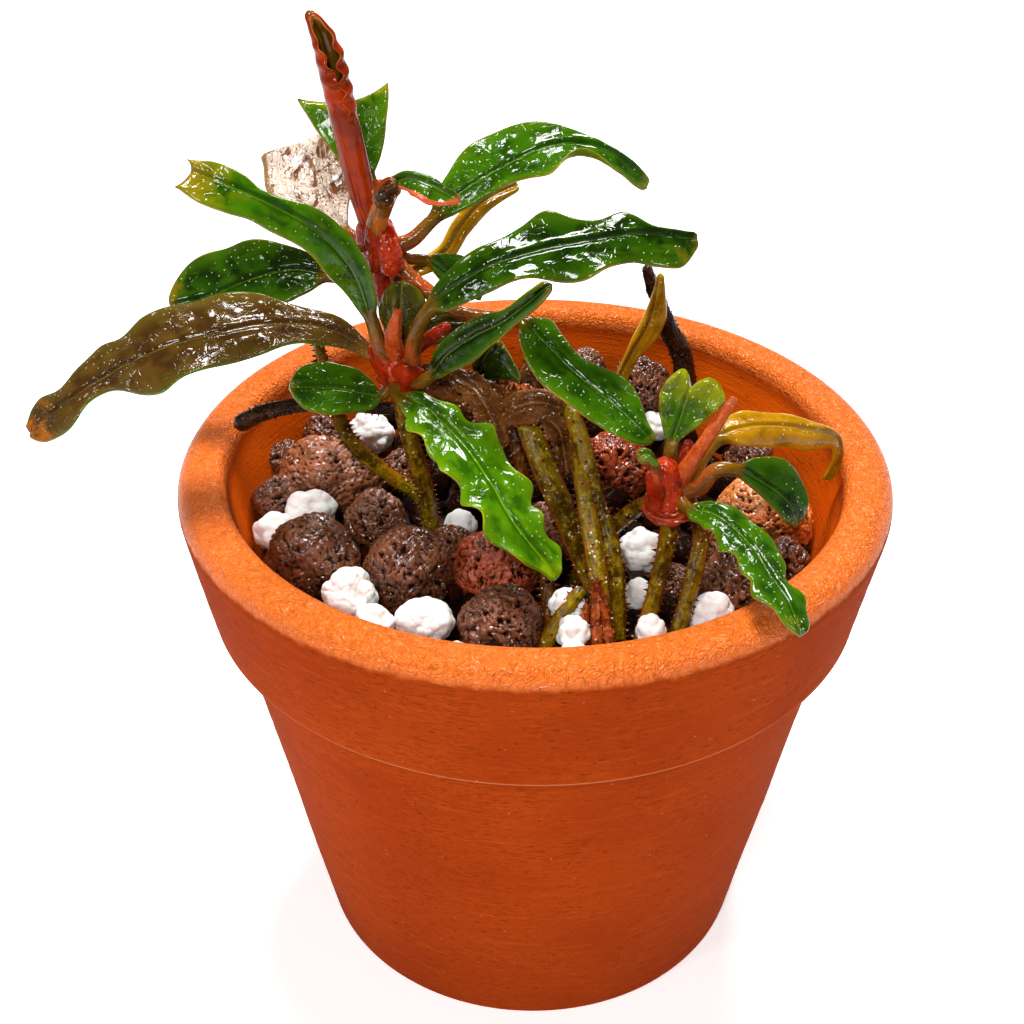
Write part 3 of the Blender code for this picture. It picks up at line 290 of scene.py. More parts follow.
LEAVES = (
    Leaf("leaf_bronze_long", "bronze", CROWN_LOW, (), ((-18.7, -3.2, 86.2), (-24.5, -4, 90.5),
         (-31, -6, 92.2), (-37, -8, 92), (-44, -9.5, 90.5), (-52, -11, 86.5), (-59.5, -12, 81)),
         (0.9, 1.5, 2.3, 2.8, 3.6, 4.5, 5.2, 5.8, 6, 5, 3.6, 4.4, 3.8, 2.3, 2.9, 1.9),
         (0.8, 1, 1.9, 2.7, 3.3, 3.9, 4.2, 4.5, 5.3, 5.8, 4.6, 2.2, 1.9, 3.2, 2.9, 1.9),
         (0, -0.45, 0.90), (0, -0.50, 0.87), ripple=14, waves=3.5, stalk=(1.3, 0.95)),
    Leaf("leaf_left_upper", "green_gold_tip", CROWN_LOW, ((-18.1, -4.8, 87.7),), ((-19.2, -4.8, 92),
         (-21, -5, 98.5), (-25, -6, 104), (-30.5, -7, 108), (-38, -7, 111.5)),
         (0.8, 1.4, 1.7, 2, 2.4, 2.5, 2.2, 1.5, 1.3, 2.3, 2.3, 1.2),
         (0.8, 1.6, 2.4, 2.7, 2.7, 2.6, 2.8, 2.9, 2.7, 3.2, 3.4, 2.6), (-0.3, -0.6, 0.75),
         (-0.2, -0.5, 0.85), ripple=8, waves=2, notch=1),
    Leaf("leaf_left_rear", "dark_green", (-17.5, 0, 95.2), ((-19.3, 1.5, 94.8),), ((-24.5, 3, 94.2),
         (-29, 4, 94.5), (-34.5, 5, 92.8), (-40, 6, 90), (-45.5, 6.5, 88.3)),
         (0.8, 2, 3.4, 4.6, 5.2, 5.5, 5.4, 5, 3.6), (0.8, 3, 4.2, 4.6, 4.4, 4, 3.4, 2.6, 2),
         (-0.1, -0.70, 0.70), (-0.1, -0.70, 0.70), ripple=8, waves=3),
    Leaf("leaf_copper", "copper", CROWN_HIGH, ((-20.1, 2.1, 99),), ((-22.6, 3.4, 100),
         (-24.4, 5, 102.6), (-25.4, 7.4, 106.2), (-25.6, 9.4, 109.7)),
         (0.8, 1.3, 1.9, 2.5, 2.9, 3.1, 3.2, 3.1, 2.9, 2.5, 1.9, 1),
         (0.8, 0.9, 1.5, 2.7, 4.6, 6.3, 7, 7.1, 7, 6.8, 2.6, 0.9), (0, -1, 0.3), (0, -0.9, 0.5),
         ripple=5, waves=2, stalk=(0.9, 0.7)),
    Leaf("leaf_top_fan", "green", CROWN_HIGH, ((-18.3, 2.7, 101.6),), ((-19.6, 5, 106),
         (-20.5, 6, 108.5), (-21.1, 7.4, 111.5), (-21.6, 9, 113.8)), (0.7, 2.2, 3, 3.6, 4.2, 4.7),
         (0.9, 2.2, 3.2, 4.3, 5.2, 6.2), (0, -1, 0.2), (0, -0.9, 0.45), ripple=4, waves=2,
         notch=1.2, curl_right=(10, 16)),
    Leaf("leaf_small_curl", "red_margin", (-18.6, -0.6, 100.2), ((-18.4, -1.6, 103),
         (-17.4, -2.6, 106)), ((-16.2, -3.6, 108.4), (-14.2, -4.6, 109.6), (-11.8, -5.6, 109.2),
         (-8.5, -6.2, 107.6)), (0.9, 1.2, 1.9, 2.2, 1.6, 0.6), (0.9, 1, 1, 0.9, 0.7, 0.5),
         (-0.5, -0.5, 0.6), (0.1, -0.6, 0.8), ripple=14, waves=2.5, stalk=(1.3, 1.15)),
    Leaf("leaf_right_upper", "green", CROWN_HIGH, ((-14.8, 1.1, 99.7),), ((-12.5, 2.2, 101.5),
         (-9, 4, 104.2), (-3, 6, 107.2), (3, 7.5, 109), (8.5, 8.2, 107.8), (13.5, 8.5, 103.3)),
         (0.8, 1.6, 2.2, 2.3, 2.6, 3.4, 4.6, 4.6, 4.2, 3.4, 2.6, 1.8, 1),
         (0.8, 2, 3.2, 4.3, 4.9, 4.9, 4.1, 3, 1.9, 0.9, 0.9, 1.1, 0.8), (-0.1, -0.6, 0.8),
         (0.2, -0.5, 0.8), ripple=8, waves=3.5, curl_right=(0, 0, 10, 60, 110, 60, 10),
         curl_left=(0, 0)),
    Leaf("petiole_strap", "gold", (-17.2, 0.6, 94.4), (), ((-15.8, 2.3, 94.6), (-11, 5, 96.3),
         (-9, 7, 98.8), (-6, 9.5, 101.2), (-2, 11.5, 102.5)), (0.8, 1.1, 1.2, 1.3, 1.2, 0.8),
         (0.8, 1.1, 1.2, 1.3, 1.2, 0.8), (0.3, -0.9, 0.3), (0, -0.8, 0.6), ripple=3),
    Leaf("leaf_small_middle", "green", CROWN_HIGH, ((-15.2, 1.1, 97.4),), ((-13, 1.6, 97),
         (-10.8, 2, 95.2), (-8.5, 2.2, 93.2), (-6.5, 2.4, 91.4)), (0.7, 1.2, 1.5, 1.4, 0.8, 0.4),
         (0.7, 2, 3, 3.2, 2.4, 0.5), (0.2, -0.6, 0.8), (0.2, -0.6, 0.8), ripple=6, waves=2,
         stalk=(0.8, 0.6)),
    Leaf("leaf_right_long", "dark_green", CROWN_LOW, ((-14.8, -5.7, 87.2), (-14.2, -7.2, 91)),
         ((-12.6, -8.2, 95), (-9.5, -9, 98.3), (-5.5, -8.8, 100.8), (-0.5, -7.8, 102.2),
         (6, -6.5, 103), (12, -5.2, 103.2), (18.5, -4, 102)),
         (0.8, 2, 2.5, 2.8, 3, 3.4, 4.4, 4.8, 3.9, 3.4, 4, 4.2, 1.9),
         (0.8, 1.9, 2.4, 2.7, 2.9, 3.8, 4.6, 3.2, 2.7, 3.1, 1.3, 0.9, 0.9), (-0.2, -0.6, 0.75),
         (0.1, -0.6, 0.8), ripple=12, waves=3.5),
    Leaf("leaf_narrow_curl", "dark_green", CROWN_LOW, ((-14.4, -5.7, 84.6),), ((-12.6, -7.2, 86),
         (-10, -9, 90), (-7, -10.4, 93), (-4, -12, 95.5), (-1, -13, 98.5), (1.5, -13.2, 101)),
         (0.7, 1.7, 2.5, 2.6, 1.9, 1.2, 1.2, 0.9), (0.7, 1.7, 1.9, 2, 1.8, 1.2, 1.2, 0.9),
         (-0.3, -0.6, 0.7), (-0.5, -0.7, 0.2), ripple=5, waves=2, curl_right=(20, 25, 60)),
    Leaf("leaf_low_right", "green", CROWN_HIGH, ((-15.4, -1, 96.6), (-11.8, -2.6, 94.2),
         (-8.8, -3.6, 92.6), (-5.5, -4.4, 92.4)), ((-2, -5.4, 92.5), (0.5, -7.5, 91),
         (3.5, -10, 88.8), (7, -12, 86.5), (10.5, -14, 84.3), (13.4, -15.6, 81.9)),
         (0.9, 2.2, 3.4, 3.9, 4.2, 4.2, 3.8, 3.4, 3.2, 2.4, 0.9),
         (0.9, 3, 2.8, 2.4, 2.4, 3.2, 4.1, 3.8, 2.8, 1.6, 0.8), (0.3, -0.5, 0.8), (0.3, -0.5, 0.8),
         ripple=8, waves=2.5, stalk=(1, 0.8)),
    Leaf("leaf_front_wavy", "bright_green", CROWN_LOW, (), ((-16.6, -6.2, 83), (-13.5, -8, 82.6),
         (-11, -10.5, 81.4), (-8, -14, 79.8), (-5, -18, 77.2), (-2.6, -21.2, 74.4),
         (2.5, -24, 68.8)),
         (0.8, 2.4, 3.4, 3.9, 3.5, 4.3, 4.3, 3.7, 4.1, 3.3, 3.5, 3.1, 2.2, 1.4, 0.9),
         (0.8, 1.5, 2, 2.8, 3.4, 4.2, 4.3, 3.5, 4, 4.1, 3.6, 3.1, 2.7, 2.4, 0.9),
         (0.3, -0.55, 0.75), (0.2, -0.6, 0.75), ripple=16, waves=5, scallops=7),
    Leaf("leaf_oval", "green", CROWN_LOW, (), ((-18.5, -4.7, 82.2), (-23.5, -6.6, 84),
         (-29.2, -8, 85)), (0.7, 2.3, 3, 3.3, 3.5, 3.4, 2.8, 1.6),
         (0.7, 1.8, 2.6, 3.2, 3.5, 3.4, 2.7, 1.5), (-0.1, -0.6, 0.8), (-0.1, -0.6, 0.8), ripple=3,
         stalk=(0.9, 0.7)),
    Leaf("leaf_shoot_upright", "yellow_green", CROWN_RIGHT, ((15.4, -17.7, 80),),
         ((15.4, -17.4, 83.2), (16.4, -16.5, 86.4), (17.3, -15.6, 89.4)),
         (0.7, 1.3, 2.2, 3, 3.8, 4.4), (0.7, 1.6, 2.5, 3, 3.2, 2.9), (-0.1, -0.9, 0.4),
         (-0.1, -0.8, 0.6), ripple=13, waves=3, notch=-1.8, curl_right=(20, 24)),
    Leaf("leaf_gold_folded", "gold", CROWN_RIGHT, ((17.8, -17, 78.6),), ((20.6, -14, 81),
         (24, -11.5, 81.2), (29, -8.5, 79.8), (34, -6, 77.6), (37, -4.4, 75.6), (37.5, -4, 72.4),
         (36.4, -4, 69.4)), (0.8, 2, 2.6, 2.8, 2.8, 2.7, 2.2, 1.1, 0.8, 0.7),
         (0.8, 2.2, 2.6, 2.2, 1.9, 1.6, 1.2, 0.8, 0.8, 0.7), (0, -0.15, 1), (0.6, -0.6, 0.4),
         ripple=8, waves=4, curl_right=(-30, -100, -110, -90, -20), curl_left=(10, 20, 20)),
    Leaf("leaf_spoon", "dark_green", CROWN_RIGHT, ((18.3, -20, 78.6), (20.2, -20.2, 81.2)),
         ((22.5, -20.2, 81.2), (25, -20.2, 79.8), (27.6, -20.2, 77.8), (29.4, -20.2, 75.8),
         (30.2, -20.2, 73.8)), (0.8, 1.2, 1.5, 1.9, 2.2, 2, 0.9), (0.8, 2.6, 3.8, 4.4, 4.2, 3, 1),
         (0, -0.5, 0.85), (0.3, -0.5, 0.8), ripple=4, waves=2),
    Leaf("leaf_over_rim", "green", CROWN_RIGHT, (), ((17, -21.7, 77), (20, -24.6, 77.8),
         (23, -27.8, 76.6), (25.2, -32, 75), (26.6, -35.3, 74.2), (28, -38.8, 72)),
         (0.8, 1.7, 2, 2.4, 3, 3.2, 2.7, 2.8, 3.3, 3.3, 2.6, 1.5, 0.8),
         (0.8, 1.7, 2.2, 2.5, 2.7, 2.8, 3.3, 2.6, 1.8, 2, 2.3, 1.9, 0.9), (0.3, -0.5, 0.8),
         (0.4, -0.6, 0.65), ripple=10, waves=5, scallops=5.5),
    Leaf("leaf_bud_striped", "red_margin", CROWN_RIGHT, (), ((14.1, -20.5, 79.7), (13.1, -21.8, 83),
         (12, -22.4, 84.4), (11, -22.6, 83.8)), (0.7, 1.1, 1.3, 0.9), (0.7, 1.1, 1.3, 0.9),
         (-0.8, -0.2, 0.4), (-0.3, -0.3, 0.9), ripple=10, waves=2, stalk=(0.9, 0.8)),
    Leaf("leaf_back", "gold", (11.6, 20.2, 57), (), ((11.8, 20.6, 58.5), (12.2, 22, 69),
         (14, 22.4, 73.8), (15.6, 23, 76.8), (16.6, 23.8, 79.8), (17.2, 24.2, 84.6)),
         (0.9, 0.9, 0.9, 0.9, 0.9, 1.1, 1.9, 2, 1.2, 0.5),
         (0.9, 0.9, 0.9, 0.9, 0.9, 1, 1.3, 1.1, 0.7, 0.4), (0, -1, 0.3), (0, -1, 0.3), ripple=4),
    Leaf("leaf_inner_upper", "olive", (-16.3, -3.2, 86), (), ((-16.3, -3.7, 88.6),
         (-16, -3.8, 91.2), (-15.8, -3.8, 94), (-15.6, -3.4, 96.7)), (0.8, 2.2, 3, 3.2, 2.7, 1.2),
         (0.8, 2, 2.8, 2.9, 2.4, 1.1), (0, -0.9, 0.4), (0, -0.8, 0.5), ripple=5, waves=2,
         curl_right=(-10, -50, -60), stalk=(0.9, 0.8)),
    Leaf("leaf_inner_lower", "olive", CROWN_LOW, (), ((-14.9, -1, 86.6), (-12.4, 1.2, 88.2),
         (-9.4, 2.4, 88.4), (-6.8, 3, 87.4)), (0.7, 2, 2.5, 2, 0.8), (0.7, 1.4, 2, 1.6, 0.7),
         (0.1, -0.6, 0.8), (0.2, -0.5, 0.85), ripple=6, waves=2, stalk=(0.9, 0.8)),
    Leaf("leaf_inner_right", "dark_green", (-7.2, -0.8, 81.8), (), ((-6.8, -1.5, 83.2),
         (-6, -2.6, 86.2), (-4.4, -3.6, 89.2)), (0.8, 3.6, 5.2, 4.8, 1.8), (0.8, 1.4, 2, 1.8, 1),
         (-0.2, -0.9, 0.4), (-0.2, -0.9, 0.4), ripple=4, waves=2),
)

ROLLED_LEAF = Leaf(
    "new_leaf_rolled", "rolled", (-18.6, 0.8, 96.6), (),
    ((-18.9, 1.2, 98), (-19.8, 1.7, 101.6), (-21, 1.9, 106), (-22.5, 1.1, 115.2),
     (-23.3, 0.8, 120.1), (-23.9, 0.2, 124), (-24.7, -1, 127.2)),
    (3.5, 3.5, 3.6, 3.7, 3.9, 4.6, 5.2, 4.8, 3.2, 1), (5.2, 5.3, 5.4, 5.5, 5.6, 5.6, 5, 4, 2.6, 0.9),
    (0.5, -1, 0.1), (0.6, -0.9, 0.1), ripple=9, waves=14,
    curl_right=(160, 160, 162, 168, 180, 186, 160, 120),
    curl_left=(235, 235, 235, 230, 215, 180, 130, 90), stalk=(1.3, 1.3), even_curl=True)

SHEATHS = (
    Leaf("sheath_low_front", "sheath", (-16, -4.2, 83.2), (), ((-15.7, -5.6, 84),
         (-15.4, -6.9, 85.8), (-15.3, -7, 87.6)), (1.6, 2.4, 2.8, 2.6, 1.8),
         (1.6, 2.4, 2.7, 2.4, 1.6), (0.1, 0.9, 0.5), (0.1, 0.9, 0.5), ripple=8, waves=2,
         curl_right=(70, 95, 95), stalk=(1.2, 1.2)),
    Leaf("sheath_low_left", "sheath", (-17.4, -3.6, 83.4), (), ((-18.4, -4.2, 84.6),
         (-19.3, -4.2, 86.6), (-19.6, -4, 88.6)), (1.2, 1.8, 1.9, 1.2), (1.2, 1.8, 1.9, 1.2),
         (0.9, 0.2, 0.4), (0.9, 0.1, 0.3), ripple=6, waves=2, curl_right=(60, 80, 60), stalk=(1, 1)),
    Leaf("sheath_high", "sheath", (-19, -1.4, 97), (), ((-18.8, -2, 98.6), (-18.9, -2.3, 101),
         (-19.2, -2, 103.4)), (1, 1.3, 1.4, 1.1, 0.5), (1, 1.3, 1.4, 1.1, 0.5), (0.2, 0.9, 0.2),
         (0.2, 0.9, 0.2), ripple=6, waves=1.5, curl_right=(60, 80, 80), stalk=(0.8, 0.8)),
    Leaf("sheath_right", "sheath", (14.4, -20.2, 76), (), ((13.4, -20.9, 77.4), (12.9, -21, 79.4),
         (12.7, -20.9, 81.6)), (1.3, 1.7, 1.8, 1.5, 0.9), (1.3, 1.7, 1.8, 1.5, 0.9),
         (0.7, 0.6, 0.4), (0.8, 0.5, 0.3), ripple=8, waves=2, curl_right=(70, 90, 100),
         stalk=(1.2, 1.2)),
    Leaf("sheath_skirt", "sheath", (12.2, -20, 76.4), (), ((12.8, -21.4, 76.1), (14.1, -22.2, 75.9),
         (15.8, -22.2, 75.9), (17.2, -21.3, 76.1), (17.8, -19.8, 76.4)),
         (0.5, 0.7, 0.7, 0.7, 0.7, 0.5), (0.5, 0.7, 0.7, 0.7, 0.7, 0.5), (0, -0.8, 0.5),
         (0, -0.8, 0.5), ripple=26, waves=4, stalk=(0.5, 0.5)),
    Leaf("sheath_dome", "sheath_brown", (3.4, -5.6, 78.8), (), ((2.6, -6.6, 81.2),
         (0.2, -7.4, 82.6), (-2.6, -7.4, 81.8), (-4.4, -6.8, 80.2)), (1.6, 2.2, 2.4, 2.2, 1.2),
         (1.6, 2.4, 2.6, 2.2, 1.2), (0.2, -0.6, 0.8), (-0.2, -0.7, 0.7), ripple=8, waves=2,
         curl_right=(-60, -75, -60), curl_left=(-60, -70, -60), stalk=(1, 1)),
    Leaf("sheath_dome_low", "sheath_brown", (0.4, -7.4, 80.6), (), ((1.2, -8.2, 80.9),
         (2.6, -8.6, 79.8), (3.2, -8.4, 77.6)), (1, 1.5, 1.6, 1), (1, 1.5, 1.6, 1), (0, -0.8, 0.6),
         (0.2, -0.8, 0.4), ripple=10, waves=2, curl_right=(-50, -60), stalk=(0.8, 0.8)),
    Leaf("sheath_left", "sheath_brown", (-11.4, -3.4, 84.4), (), ((-10.2, -4.6, 84.8),
         (-7.4, -6, 83.6), (-5.2, -7.6, 80.4), (-4, -9, 77)), (1, 1.6, 1.8, 1.5, 0.8),
         (1, 2, 2.2, 1.7, 0.9), (0.2, -0.8, 0.6), (0, -0.9, 0.4), ripple=16, waves=4,
         curl_right=(-40, -50), curl_left=(-40, -60), stalk=(0.9, 0.9), scallops=7),
    Leaf("sheath_right_low", "sheath_brown", (2.2, -6, 79.4), (), ((2.8, -6.8, 78.6),
         (3.4, -8, 76.4), (3.8, -9.4, 73.6)), (0.8, 1.2, 1.3, 0.6), (0.8, 1.2, 1.3, 0.6),
         (0, -0.9, 0.4), (0, -0.9, 0.3), ripple=18, waves=3, stalk=(0.7, 0.7), scallops=5),
    # A dark brown sheet that hangs behind the rhizome.
    Leaf("sheath_behind", "sheath_brown", (-2.6, -1.2, 81.4), (), ((-1.4, 0.4, 81.8),
         (0.6, 1.6, 81.2), (2.4, 2, 78), (3.6, 1.8, 73.4)), (1.4, 2.6, 3, 2.6, 1.4),
         (1.4, 3.4, 4.2, 3.2, 1.4), (0.2, -0.8, 0.6), (0.4, -0.9, 0.3), ripple=10, waves=3,
         stalk=(1, 1)),
)


def in_frame(point):
    """A point in millimetres from the pot's axis, in the frame's metres."""
    return Vector(point) * MM + POT_AXIS


def hermite(points, shares):
    """Places and directions at shares of the way along a smooth curve through the points."""
    points = np.array(points, float)
    steps = np.linalg.norm(np.diff(points, axis=0), axis=1)
    lengths = np.concatenate(([0.0], np.cumsum(steps)))
    slopes = np.empty_like(points)
    for index in range(len(points)):
        low = max(index - 1, 0)
        high = min(index + 1, len(points) - 1)
        slopes[index] = (points[high] - points[low]) / (lengths[high] - lengths[low])
    here = np.clip(shares, 0.0, 1.0) * lengths[-1]
    index = np.clip(np.searchsorted(lengths, here, side="right") - 1, 0, len(points) - 2)
    span = steps[index][:, None]
    u = ((here - lengths[index]) / steps[index])[:, None]
    start, end = points[index], points[index + 1]
    leave, arrive = slopes[index] * span, slopes[index + 1] * span
    places = ((2 * u ** 3 - 3 * u ** 2 + 1) * start + (u ** 3 - 2 * u ** 2 + u) * leave
              + (3 * u ** 2 - 2 * u ** 3) * end + (u ** 3 - u ** 2) * arrive)
    ways = ((6 * u ** 2 - 6 * u) * start + (3 * u ** 2 - 4 * u + 1) * leave
            + (6 * u - 6 * u ** 2) * end + (3 * u ** 2 - 2 * u) * arrive)
    return places, unit(ways), lengths[-1]


def unit(vectors):
    """Vectors scaled to a length of one."""
    return vectors / np.linalg.norm(vectors, axis=-1, keepdims=True)


def even_curve(values, shares):
    """A smooth curve through values that are spaced evenly from 0 to 1."""
    values = np.array(values, float)
    padded = np.concatenate((values[:1], values, values[-1:]))
    place = np.clip(shares, 0.0, 1.0) * (len(values) - 1)
    index = np.clip(place.astype(int), 0, len(values) - 2)
    u = place - index
    before, start, end, after = (padded[index + step] for step in range(4))
    return 0.5 * (2 * start + (end - before) * u
                  + (2 * before - 5 * start + 4 * end - after) * u ** 2
                  + (3 * start - before - 3 * end + after) * u ** 3)


def ease(low, high, values):
    """0 below low, 1 above high and a smooth step between."""
    share = np.clip((values - low) / (high - low), 0.0, 1.0)
    return share * share * (3 - 2 * share)


def round_end(gap, reach):
    """How full a rounded end is at a gap from it: 0 at its very end and 1 beyond the reach."""
    return np.sqrt(np.clip(1 - ((reach - gap) / reach).clip(0) ** 2, 0.0, 1.0))


def name_seed(name, limit):
    """A whole number below the limit that depends on the name alone."""
    return sum(ord(letter) for letter in name) % limit


def link_object(name, data):
    """A new object of that data in the scene."""
    made = bpy.data.objects.new(name, data)
    bpy.context.scene.collection.objects.link(made)
    return made


def mark_points(mesh, name, values):
    """Stores one number at each point of a mesh."""
    layer = mesh.attributes.new(name, "FLOAT", "POINT")
    layer.data.foreach_set("value", np.array(values, np.float32))


def add_piece(name, vertices, faces, finish, nodes=(), marks=None):
    """A finished piece from vertices in millimetres, riding on the one body."""
    mesh = bpy.data.meshes.new(name)
    placed = np.array(vertices, float) * MM + np.array(POT_AXIS)
    mesh.from_pydata(placed.tolist(), [], faces)
    mesh.update()
    for mark, values in (marks or {}).items():
        mark_points(mesh, mark, values)
    mesh.shade_smooth()
    mesh.materials.append(finish)
    piece = link_object(name, mesh)
    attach(piece, BODY)
    if nodes:
        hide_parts(*nodes)
    return piece


def used_only(vertices, faces, marks):
    """The mesh without the vertices that no face uses."""
    used = sorted({corner for face in faces for corner in face})
    renumber = {old: new for new, old in enumerate(used)}
    return ([vertices[old] for old in used],
            [[renumber[corner] for corner in face] for face in faces],
            {mark: [values[old] for old in used] for mark, values in marks.items()})


def sheet_samples(count):
    """Shares across half a blade, from the midrib to the margin, closer together at both."""
    even = np.linspace(0.0, 1.0, count)
    return 0.5 * even + 0.5 * np.sin(even * math.pi / 2)


def blade_geometry(leaf, settings):
    """The columns of a leaf from margin to margin, each a line from the root to the tip.

    After them come, at each step from the root, the millimetres walked, the share of the blade,
    0 for petiole to 1 for blade, and the share of the petiole.
    """
    points = (leaf.root,) + leaf.petiole + leaf.midrib
    steps = [math.dist(a, b) for a, b in zip(points, points[1:])]
    stalk_share = sum(steps[:1 + len(leaf.petiole)]) / sum(steps)
    rows = max(LEAST_LEAF_ROWS, int(sum(steps) / settings.grid_step))
    widest = max(leaf.right) + max(leaf.left)
    half = max(LEAST_HALF_COLUMNS, int(widest / 2 / settings.grid_step) + 3)
    along = np.linspace(0.0, 1.0, rows)
    places, ways, length = hermite(points, along)
    blade = np.clip((along - stalk_share) / (1 - stalk_share), 0.0, 1.0)
    faces_up = np.outer(1 - blade, leaf.face_root) + np.outer(blade, leaf.face_tip)
    right_way = unit(np.cross(ways, faces_up))
    up_way = np.cross(right_way, ways)
    is_blade = ease(0.0, BLADE_START, blade) * (along > stalk_share)
    tip_gap = (1 - along) * length
    stalk_width = np.interp(along / stalk_share, (0.0, 1.0), leaf.stalk)
    samples = sheet_samples(half)
    curl_start = (0.45, 0.75) if leaf.even_curl else (0.0, 0.25)
    swell = ease(*curl_start, blade) * ease(0.0, 0.15, 1 - blade)

    def notch_share(q):
        return leaf.notch * q * q if leaf.notch > 0 else -leaf.notch * math.sin(math.pi * q ** 0.9)

    grid = []
    for side, widths, curls in ((-1, leaf.left, leaf.curl_left or leaf.curl_right),
                                (1, leaf.right, leaf.curl_right)):
        width = np.maximum(even_curve(widths, blade), LEAST_HALF_WIDTH)
        if leaf.scallops:
            width = width * (1 + SCALLOP_DEPTH * np.sin(math.tau * leaf.scallops * blade + side))
        width = stalk_width * (1 - is_blade) + width * is_blade
        width = width * round_end(along * length, ROOT_ROUND)
        if not leaf.notch:
            width = width * round_end(tip_gap, max(widths[-1], LEAST_TIP_ROUND))
        phase = 0.0 if side > 0 else LEFT_WAVE_SHIFT
        wave = leaf.ripple * swell * np.sin(2 * math.pi * (leaf.waves * blade + phase))
        curl = even_curve(curls, blade)
        q = samples[None, :]
        bend = q if leaf.even_curl else 0.35 * q + 0.65 * q ** 2
        angle = np.radians((settings.fold * (1 - 1.7 * q) + wave[:, None] * 2.0 * q ** 2
                            + curl[:, None] * bend) * is_blade[:, None])
        step = np.diff(samples)[None, :]
        middle = (angle[:, 1:] + angle[:, :-1]) / 2
        out, rise = (np.concatenate((np.zeros((rows, 1)), np.cumsum(part(middle) * step, 1)), 1)
                     * width[:, None] for part in (np.cos, np.sin))
        for j in range(half - 1, 0, -1) if side < 0 else range(half):
            q = samples[j]
            across = side * q * width
            base = (places + right_way * (side * out[:, j])[:, None] + up_way * rise[:, j][:, None]
                    + ways * (notch_share(q) * blade ** 6)[:, None])
            normal = (up_way * np.cos(angle[:, j])[:, None]
                      - right_way * (side * np.sin(angle[:, j]))[:, None])
            round_part = width * math.sqrt(max(0.0, 1 - q * q))
            thin_part = (settings.thickness / 2 * math.sqrt(max(0.0, 1 - q ** 8))
                         * (1 + MIDRIB_SWELL * np.exp(-(across / MIDRIB_WIDTH) ** 2))
                         * np.minimum(1.0, width))
            depth = round_part * (1 - is_blade) + thin_part * is_blade
            if leaf.notch:
                depth = depth * np.sqrt(np.clip(tip_gap / NOTCH_THINNING, 0, 1))
            grid.append((base, normal, depth, across, side * q * np.ones(rows)))
    return grid, along * length, blade, is_blade, np.clip(along / stalk_share, 0.0, 1.0)


def leaf_relief(leaf, settings, along_mm, across_mm, is_blade, span):
    """Heights of the groove over the midrib, the veins and the crinkles, in millimetres."""
    seed = name_seed(leaf.name, 97)
    groove = -settings.groove * np.exp(-(across_mm / 0.28) ** 2)
    shoulder = 0.7 * settings.groove * np.exp(-((np.abs(across_mm) - 0.75) / 0.35) ** 2)
    from_margin = np.abs(across_mm) * (1 / np.maximum(np.abs(span), 0.05) - 1)
    from_margin = from_margin + 9.0 * (np.abs(span) < 0.05)
    bead = settings.bead * np.exp(-((from_margin - 0.30) / 0.20) ** 2)
    vein = (along_mm - 1.1 * np.abs(across_mm)) / settings.vein_spacing
    veins = -settings.vein_depth * np.exp(-(((vein + 0.5) % 1.0 - 0.5) / 0.16) ** 2)
    edge = np.clip(1 - np.abs(span) ** 4, 0.0, 1.0)
    crinkle = np.array([noise.noise(Vector((a * 0.45, b * 0.60, seed)))
                        + 0.25 * noise.noise(Vector((a * 1.3, b * 1.7, seed + 9)))
                        for a, b in zip(along_mm, across_mm)])
    return (groove + shoulder + bead + (veins + settings.crinkle * crinkle) * edge) * is_blade


def make_leaf(leaf, settings, finish, nodes=()):
    """A leaf's piece, with marks that its finish reads."""
    grid, along_mm, blade, is_blade, reach = blade_geometry(leaf, settings)
    rows, count = len(blade), len(grid)
    vertices, marks = [], {}
    index = np.zeros((2, rows, count), int)
    for j, (base, normal, depth, across, span) in enumerate(grid):
        relief = leaf_relief(leaf, settings, along_mm, across, is_blade, span)
        at_margin = j in (0, count - 1)
        for sheet, sign in ((0, 1.0), (1, -1.0)):
            if sheet and at_margin:
                index[1, :, j] = index[0, :, j]
                continue
            offset = relief * (0.5 if sheet else 1.0) + sign * depth
            start = len(vertices)
            vertices.extend(base + normal * offset[:, None])
            index[sheet, :, j] = range(start, start + rows)
            column = {"along_mm": along_mm, "across_mm": across, "span": span, "share": blade,
                      "upper": [0.5 if at_margin else 1.0 - sheet] * rows, "blade": is_blade,
                      "reach": reach, "teeth": (np.arange(rows) % 3 == 0) * float(at_margin)}
            for mark, values in column.items():
                marks.setdefault(mark, []).extend(values)
    middle = count // 2
    index[:, 0, :] = index[0, 0, middle]
    if leaf.notch:
        index[1, -1, :] = index[0, -1, :]
    else:
        index[:, -1, :] = index[0, -1, middle]
    faces = []
    for i in range(rows - 1):
        for j in range(count - 1):
            top = (index[0, i, j], index[0, i, j + 1], index[0, i + 1, j + 1], index[0, i + 1, j])
            low = (index[1, i, j], index[1, i + 1, j], index[1, i + 1, j + 1], index[1, i, j + 1])
            for face in (top, low):
                corners = [int(c) for k, c in enumerate(face) if c != face[k - 1]]
                if len(set(corners)) > 2:
                    faces.append(corners)
    vertices, faces, marks = used_only(vertices, faces, marks)
    return add_piece(leaf.name + "_blade", vertices, faces, finish, nodes, marks)


